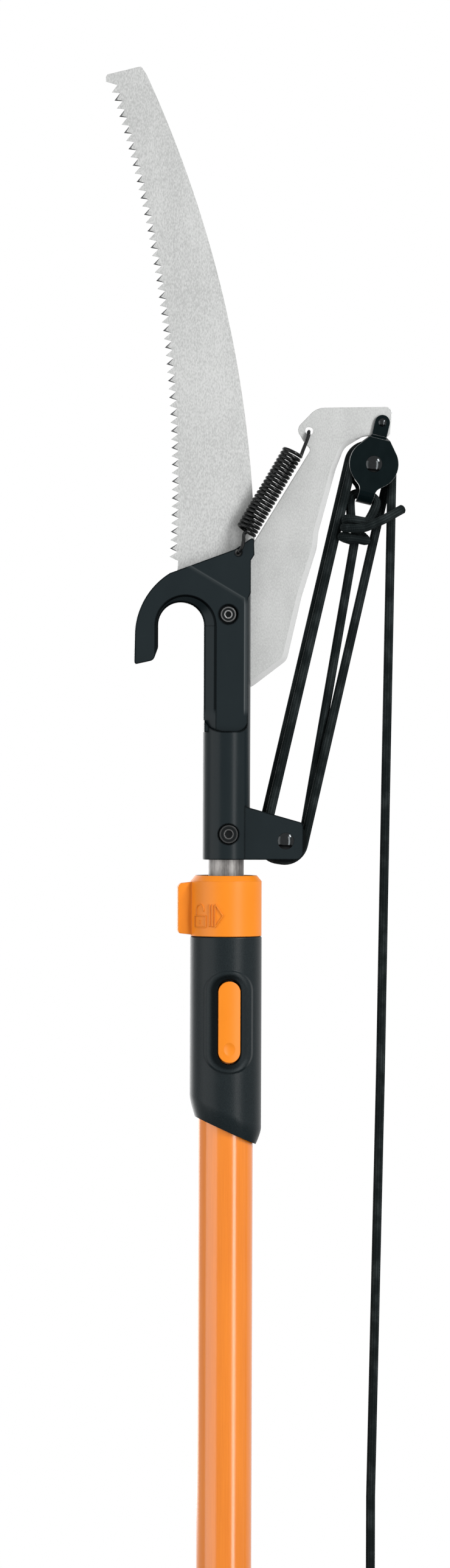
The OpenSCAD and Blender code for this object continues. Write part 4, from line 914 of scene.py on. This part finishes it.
# A blackened, polished dome
black_rivet = one_noise((1.5, 1.5, 1.5), 3.0, (0.017, 0.019, 0.02), (0.027, 0.029, 0.03),
                        0.07, 0.04, 0.01, 0.4, 0.3)
pivot_face = screw_face(PIVOT_Z, 5.6, 2.3, 0.3)
socket_face = screw_face(SOCKET_SCREW, 6.6, 2.9, 0.1)
wear(finish("blackened_strap", black_strap, specular=0.04), "block_strap", "saw_clamp")
wear(finish("black_dome", black_rivet, metallic=0.9), "strap_rivet", "block_axle", "lower_axle", "button_pin")
wear(finish("pivot_screw", pivot_face, metallic=0.6, specular=0.2), "pivot_bolt")
wear(finish("socket_head", socket_face, metallic=0.5, specular=0.2), "socket_screw")


# %% [markdown]
# The rest of the head is plainer: bright plated nuts and screws, a bare aluminium tube, a brass bush, nylon
# sheaves. Each finish is one or two noises, stretched along the marks where a piece was drawn or turned.

# %% Bare metals and nylon
def drawn_tube(w):
    """Bare drawn aluminium: dull grey with long streaks and handling marks."""
    streaks, marks = w.grain((0.7, 0.7, 30.0), 3.0), w.grain((2.5, 2.5, 5.0), 4.0)
    tone = streaks * 0.5 + marks * 0.5
    return coat(tone.rise(0.3, 0.7).mix((0.11, 0.104, 0.1), (0.23, 0.222, 0.214)),
                marks * 0.3 + 0.3, streaks.bump(0.03))


# Bright plating and bearing brass, both with turning marks, and black nylon that the rope has worn dull
plated = one_noise((0.4, 3.0, 0.4), 2.0, (0.52, 0.52, 0.51), (0.68, 0.68, 0.66), 0.15, 0.2, 0.01, 0.5, 0.25)
brass = one_noise((0.5, 2.0, 0.5), 2.0, (0.55, 0.38, 0.14), (0.75, 0.56, 0.25), 0.25, 0.2, 0.01)
rope_wheel = one_noise((1, 1, 1), 3.0, (0.002, 0.003, 0.003), (0.006, 0.0075, 0.0075),
                       0.5, 0.3, 0.03, 0.5, 0.3)
wear(finish("bright_plate", plated, metallic=1.0), "pivot_washer", "pivot_nut", "saw_screws", "socket_nut",
     "lock_pin", "collar_clip", "button_spring")
wear(finish("bare_tube", drawn_tube, metallic=0.85), "inner_tube")
wear(finish("bearing_brass", brass, metallic=1.0), "pivot_bush")
wear(finish("sheave_nylon", rope_wheel, specular=0.03), "lower_sheave_rear", "lower_sheave_front",
     "upper_sheave_rear", "upper_sheave_front")


# %% [markdown]
# ## Plastic and glass fibre
# The grip and the inner parts are black mouldings with a spark-eroded texture. The pole is a glossy
# glass-fibre tube, and the collar and the button are satin mouldings of a slightly yellower orange. Pictures
# could be laid on them, but noises on Object coordinates need no unwrapping and show no seam.

# %% Black mouldings
DISH_ROWS, DISH_FADE = 20, 9


def moulded_black(w):
    """Black moulding: spark-eroded texture with paler specks, and a slow change of tone."""
    pits, cloud = w.grain((0.8, 0.8, 0.8), 3.0), w.grain((15, 15, 25), 3.0)
    tone = cloud * 0.4 + pits.rise(0.35, 0.7) * 0.6
    return coat(tone.mix((0.0058, 0.0094, 0.011), (0.0115, 0.0168, 0.019)),
                pits * 0.2 + 0.25, pits.bump(0.08, 0.9, edge=0.8))


def grip_black(w):
    """The same moulding, with painted shade in the dish inside the ridge's crest: darker and without gloss.
    The mesh counts its rows out from the slot."""
    painted = moulded_black(w)
    # Painted shade: the dish goes dark and loses its gloss
    dish = (1 - w.along("X").rise(DISH_ROWS - DISH_FADE, DISH_ROWS)) * 0.7
    painted["Base Color"] = dish.mix(painted["Base Color"], (0.0015, 0.002, 0.0022))
    painted["Metallic"] = dish
    return painted


grip_mould = finish("grip_moulding", grip_black, specular=0.12)
wear(finish("black_moulding", moulded_black, specular=0.12), "end_plug", "clamp_collet", "guide_bush")


# %% Orange finishes
def gloss_tube(w):
    """Glossy glass-fibre tube: faint fibres along it and a slow change of tone."""
    fibres, cloud = w.grain((0.6, 0.6, 40.0), 3.0), w.grain((20, 20, 120), 2.0)
    tone = fibres * 0.5 + cloud * 0.5
    return coat(tone.rise(0.3, 0.7).mix((0.69, 0.18, 0.005), (0.76, 0.212, 0.009)),
                cloud * 0.1 + 0.14, fibres.bump(0.01, 0.4))


def satin_orange(w):
    """Satin moulding: fine texture, and painted shade that makes the rounded corners a little darker."""
    pits, cloud = w.grain((0.4, 0.4, 0.4), 2.0), w.grain((14, 14, 20), 3.0)
    plain = cloud.mix((0.72, 0.203, 0.0076), (0.78, 0.228, 0.0115))
    # Painted shade on the rounded corners
    return coat((w.edges(0.6, 0.004, 0.05) * 0.45).mix(plain, (0.45, 0.1, 0.004)),
                pits * 0.12 + 0.36, pits.bump(0.03, 0.6, edge=0.8))


def sign_orange(w):
    """The same moulding with painted shade that darkens the edges of the strokes."""
    painted = satin_orange(w)
    # Painted shade on the strokes' edges
    painted["Base Color"] = w.edges(0.35, 0.01, 0.1).mix((0.75, 0.218, 0.0095), (0.36, 0.075, 0.003))
    return painted


sign_mould = finish("sign_moulding", sign_orange, specular=0.25)
wear(finish("pole_gloss", gloss_tube, specular=0.5), "outer_tube")
wear(finish("orange_moulding", satin_orange, specular=0.25), "lock_collar", "lock_button")

# %% [markdown]
# ## The grip
# The grip is moulded: a soft ridge swells round the button's slot and dies away into the barrel, and the
# lower end is cut on the slant with a tapered lip. A turned barrel with a slot cut in it would have no such
# ridge. So the skin starts at the slot. Rows of points go outwards from it, first as offsets of the slot's
# own outline, then opening out until the last row reaches all four edges of the unrolled barrel.


# %% Grip
GRIP_R, GRIP_BORE, GRIP_TOP, GRIP_ROUND = 25.3, 19.55, 1796.5, 1.0
GRIP_MIDDLE, GRIP_SLOPE, LIP_TALL, LIP_IN, LIP_CURVE = 1659.5, 23 / 50.6, 13.0, 3.7, 1.35
SLOT_WIDE, SLOT_TALL, SLOT_Z, WALL_R = 16.1, 59.4, 1737.0, GRIP_BORE + 0.2
RIDGE_WIDE, RIDGE_ENDS, RIDGE_HIGH, RIDGE_EDGE, RIDGE_CREST, RIDGE_PAST = 9.6, 2.8, 1.4, 0.5, 0.78, 1.04
EDGE_DROP, EDGE_FADE = 0.5, 0.3


def ease(t):
    """From 0 to 1 with a soft start and a soft end: three times the square less twice the cube."""
    t = np.clip(t, 0, 1)
    return t * t * (3 - 2 * t)


def grip_skin(sides=40, caps=60, ridge_rows=30, open_rows=36):
    """The outline's columns run up the right side, over the top, down the left and round the bottom. The
    ridge, which is narrower at its ends, climbs gently from the slot to its crest and falls quickly outside
    it. Past the ridge, angle and height go evenly to the edges."""
    up, turn = np.linspace(0, 1, sides, endpoint=False), np.linspace(0, np.pi, caps, endpoint=False)
    still, c, s = np.zeros(sides), np.cos(turn), np.sin(turn)
    out_x, out_z = np.concatenate([still + 1, c, still - 1, -c]), np.concatenate([still, s, still, -s])
    core = np.concatenate([up - 0.5, 0 * turn + 0.5, 0.5 - up, 0 * turn - 0.5]) * (SLOT_TALL - SLOT_WIDE)
    part = np.linspace(0, RIDGE_PAST, ridge_rows)[:, None]
    far = part * (RIDGE_WIDE - RIDGE_ENDS * out_z**2)
    climb = RIDGE_EDGE + (RIDGE_HIGH - RIDGE_EDGE) * ease(part / RIDGE_CREST)
    swell = climb * (1 - ease((part - RIDGE_CREST) / (1 - RIDGE_CREST)))
    radius = GRIP_R + swell - EDGE_DROP * np.exp(-far / EDGE_FADE)
    angle = np.arcsin(out_x * (SLOT_WIDE / 2 + far) / radius)
    height = SLOT_Z + core + out_z * (SLOT_WIDE / 2 + far)
    top, ring_top, ring_low = GRIP_TOP - GRIP_ROUND, np.pi - 2 * turn, 2 * turn - np.pi
    foot = GRIP_MIDDLE + LIP_TALL - GRIP_R * GRIP_SLOPE * np.sin(ring_low)
    edge_angle = np.concatenate([still + np.pi, ring_top, still - np.pi, ring_low])
    rise = foot[0] + (top - foot[0]) * up
    edge_height = np.concatenate([rise, 0 * turn + top, top + foot[0] - rise, foot])
    share = np.linspace(0, 1, open_rows)[1:, None]
    wall = barrel(WALL_R, np.arcsin(out_x * SLOT_WIDE / 2 / WALL_R), height[:1])
    open_angle = angle[-1] + (edge_angle - angle[-1]) * share
    opened = barrel(GRIP_R, open_angle, height[-1] + (edge_height - height[-1]) * share)
    skin = grid(np.concatenate([wall, barrel(radius, angle, height), opened]), close_cols=True)
    in_by, down = np.array([[0, 0.3, 1, GRIP_R - GRIP_BORE], [1, 0.3, 0, 0]])[..., None]
    cap = barrel(GRIP_R - in_by, ring_top, GRIP_TOP - down * GRIP_ROUND)
    down = np.linspace(0, 1, 10)[:, None]
    lip_r, slope = GRIP_R - LIP_IN * down**LIP_CURVE, GRIP_SLOPE * np.sin(ring_low)
    lip = barrel(lip_r, ring_low, GRIP_MIDDLE + LIP_TALL * (1 - down) - lip_r * slope)
    ends = np.array([[GRIP_R - LIP_IN], [GRIP_BORE]])
    rim = barrel(ends, ring_low, GRIP_MIDDLE - ends * slope)
    rows_on = ridge_rows + open_rows
    rest = [grid(ring, close_cols=True, u=rows_on + np.arange(float(len(ring)))) for ring in (cap, lip, rim)]
    return together(skin, *rest)


grip = piece("moulded_grip", grip_skin(), grip_mould, "outer_pole", merge=0.01, sharp=14)
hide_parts("grip_sleeve")

# %% [markdown]
# The collar carries two signs in low relief: an open padlock, and two bars with an arrowhead that give the
# way to turn. A flat curve would not lie on a round collar. So each stroke is a flat ridge drawn on the
# unrolled collar and then wrapped round it.

# %% Signs on the collar
COLLAR_R, SIGN_LOW, SIGN_HIGH = 25.15, 1803.3, 1819.6
STROKE, RELIEF, SUNK = 1.3, 0.7, -0.2
LOCK_X, LOCK_TOP, LOCK_HALF, SHACKLE, BOW_Z, BOW_END = -23.0, 1811.2, 5.4, 3.6, 1815.6, 1814.2
KEYHOLE, BARS, HEAD_FROM, HEAD_TIP = (1805.2, 1808.6), (-14.6, -12.4), -10.2, -4.8


def stroke(points, closed=False):
    """A ridge along a line of the unrolled collar, given as arc length and height: four points across, sunk
    edges and a flat top, which dips under the surface at open ends."""
    line = even(np.array(points + points[:1] if closed else points, float), 0.5)
    ahead = unit(np.gradient(line, axis=0))
    side = np.stack([-ahead[:, 1], ahead[:, 0]], 1)
    flat = line[:, None] + side[:, None] * (STROKE * np.array([-0.5, -0.3, 0.3, 0.5]))[None, :, None]
    lift = np.tile([SUNK, RELIEF, RELIEF, SUNK], (len(line), 1))
    if not closed:
        lift[[0, -1]] = SUNK
    return grid(barrel(COLLAR_R + lift, flat[..., 0] / COLLAR_R, flat[..., 1]))


left, right = LOCK_X - LOCK_HALF, LOCK_X + LOCK_HALF
bow = ([LOCK_X, BOW_Z] + SHACKLE * circle(np.linspace(np.pi, 0, 16))).tolist()
padlock = [stroke([[left, SIGN_LOW], [left, LOCK_TOP], [right, LOCK_TOP], [right, SIGN_LOW]], closed=True),
           stroke([[LOCK_X - SHACKLE, LOCK_TOP], *bow, [LOCK_X + SHACKLE, BOW_END]]),
           stroke([[LOCK_X, z] for z in KEYHOLE])]
bars = [stroke([[x, SIGN_LOW], [x, SIGN_HIGH]]) for x in BARS]
tip = [HEAD_TIP, (SIGN_LOW + SIGN_HIGH) / 2]
arrowhead = stroke([[HEAD_FROM, SIGN_LOW], [HEAD_FROM, SIGN_HIGH], tip], closed=True)
relief = together(*padlock, *bars, arrowhead)
piece("collar_signs", relief, sign_mould, "collar", merge=0.01, sharp=25)

# %% [markdown]
# ## The studio
# A pale floor under the pole's foot, a soft box high on the right that throws the shadows, a tall one below
# it that draws the highlight down the pole, a wide one on the left, one behind for the views from there, and
# a white surround that camera and reflections see at full strength while it lights the object gently.


# %% Floor
FLOOR_HALF, FLOOR_Z = 3.0, -0.0005


def pale_floor(w):
    """Pale paper with a faint mottle. Away from the pole it goes over to the surround's white, which it shows
    to the camera alone, so that it lights nothing."""
    mottle, fade = w.grain((40, 40, 40), 3.0), w.axis("X").far(w.axis("Y")).rise(0.3, 2.6)
    paper = mottle.mix((0.78, 0.78, 0.775), (0.82, 0.82, 0.815))
    white = fade * w.node("LightPath", out="Is Camera Ray")
    return {"Base Color": fade.mix(paper, (0, 0, 0)), "Roughness": mottle * 0.1 + 0.8,
            "Emission Color": white.mix((0, 0, 0), (1, 1, 1))}


paper_sheet = np.array([(-1, -1, 0), (1, -1, 0), (1, 1, 0), (-1, 1, 0)]) * FLOOR_HALF + [0, 0, FLOOR_Z]
floor_mesh = bpy.data.meshes.new("floor")
floor_mesh.from_pydata(paper_sheet.tolist(), [], [(0, 1, 2, 3)])
floor_mesh.materials.append(finish("floor_paper", pale_floor, specular=0.0, glow=1.0))
stand("floor", floor_mesh)
print("floor", 2 * FLOOR_HALF, "m wide")


# %% Lamps and surround
def soft_box(name, at, aim, wide, tall, watts):
    """A rectangular lamp that looks at a point."""
    lamp = bpy.data.lights.new(name, "AREA")
    lamp.shape, lamp.size, lamp.size_y, lamp.energy = "RECTANGLE", wide, tall, watts
    look(stand(name, lamp), at, Vector(aim) - Vector(at))


soft_box("key_box", (1.65, -1.5, 3.4), (0, 0, 2.1), 0.5, 0.8, 42)
soft_box("front_box", (1.2, -1.85, 1.9), (0, 0, 1.8), 0.5, 2.6, 36)
soft_box("left_box", (-2.0, -0.9, 2.0), (0, 0, 1.9), 2.2, 2.6, 42)
soft_box("back_box", (-0.9, 2.4, 2.2), (0, 0, 1.8), 2.0, 2.6, 36)
surround = bpy.data.worlds.new("surround")
surround.use_nodes = True
bpy.context.scene.world = surround
sky = Wire(surround.node_tree)
seen = sky.node("LightPath", out="Is Camera Ray")
for ray in ("Is Glossy Ray", "Is Transmission Ray"):
    seen = seen.maths("MAXIMUM", sky.node("LightPath", out=ray))
FILL = 0.26
background = surround.node_tree.nodes["Background"]
background.inputs["Color"].default_value = (1, 1, 1, 1)
surround.node_tree.links.new((seen * (1 - FILL) + FILL).socket, background.inputs["Strength"])
bpy.context.scene.view_settings.view_transform = "Standard"
print(len(bpy.data.lights), "soft boxes")
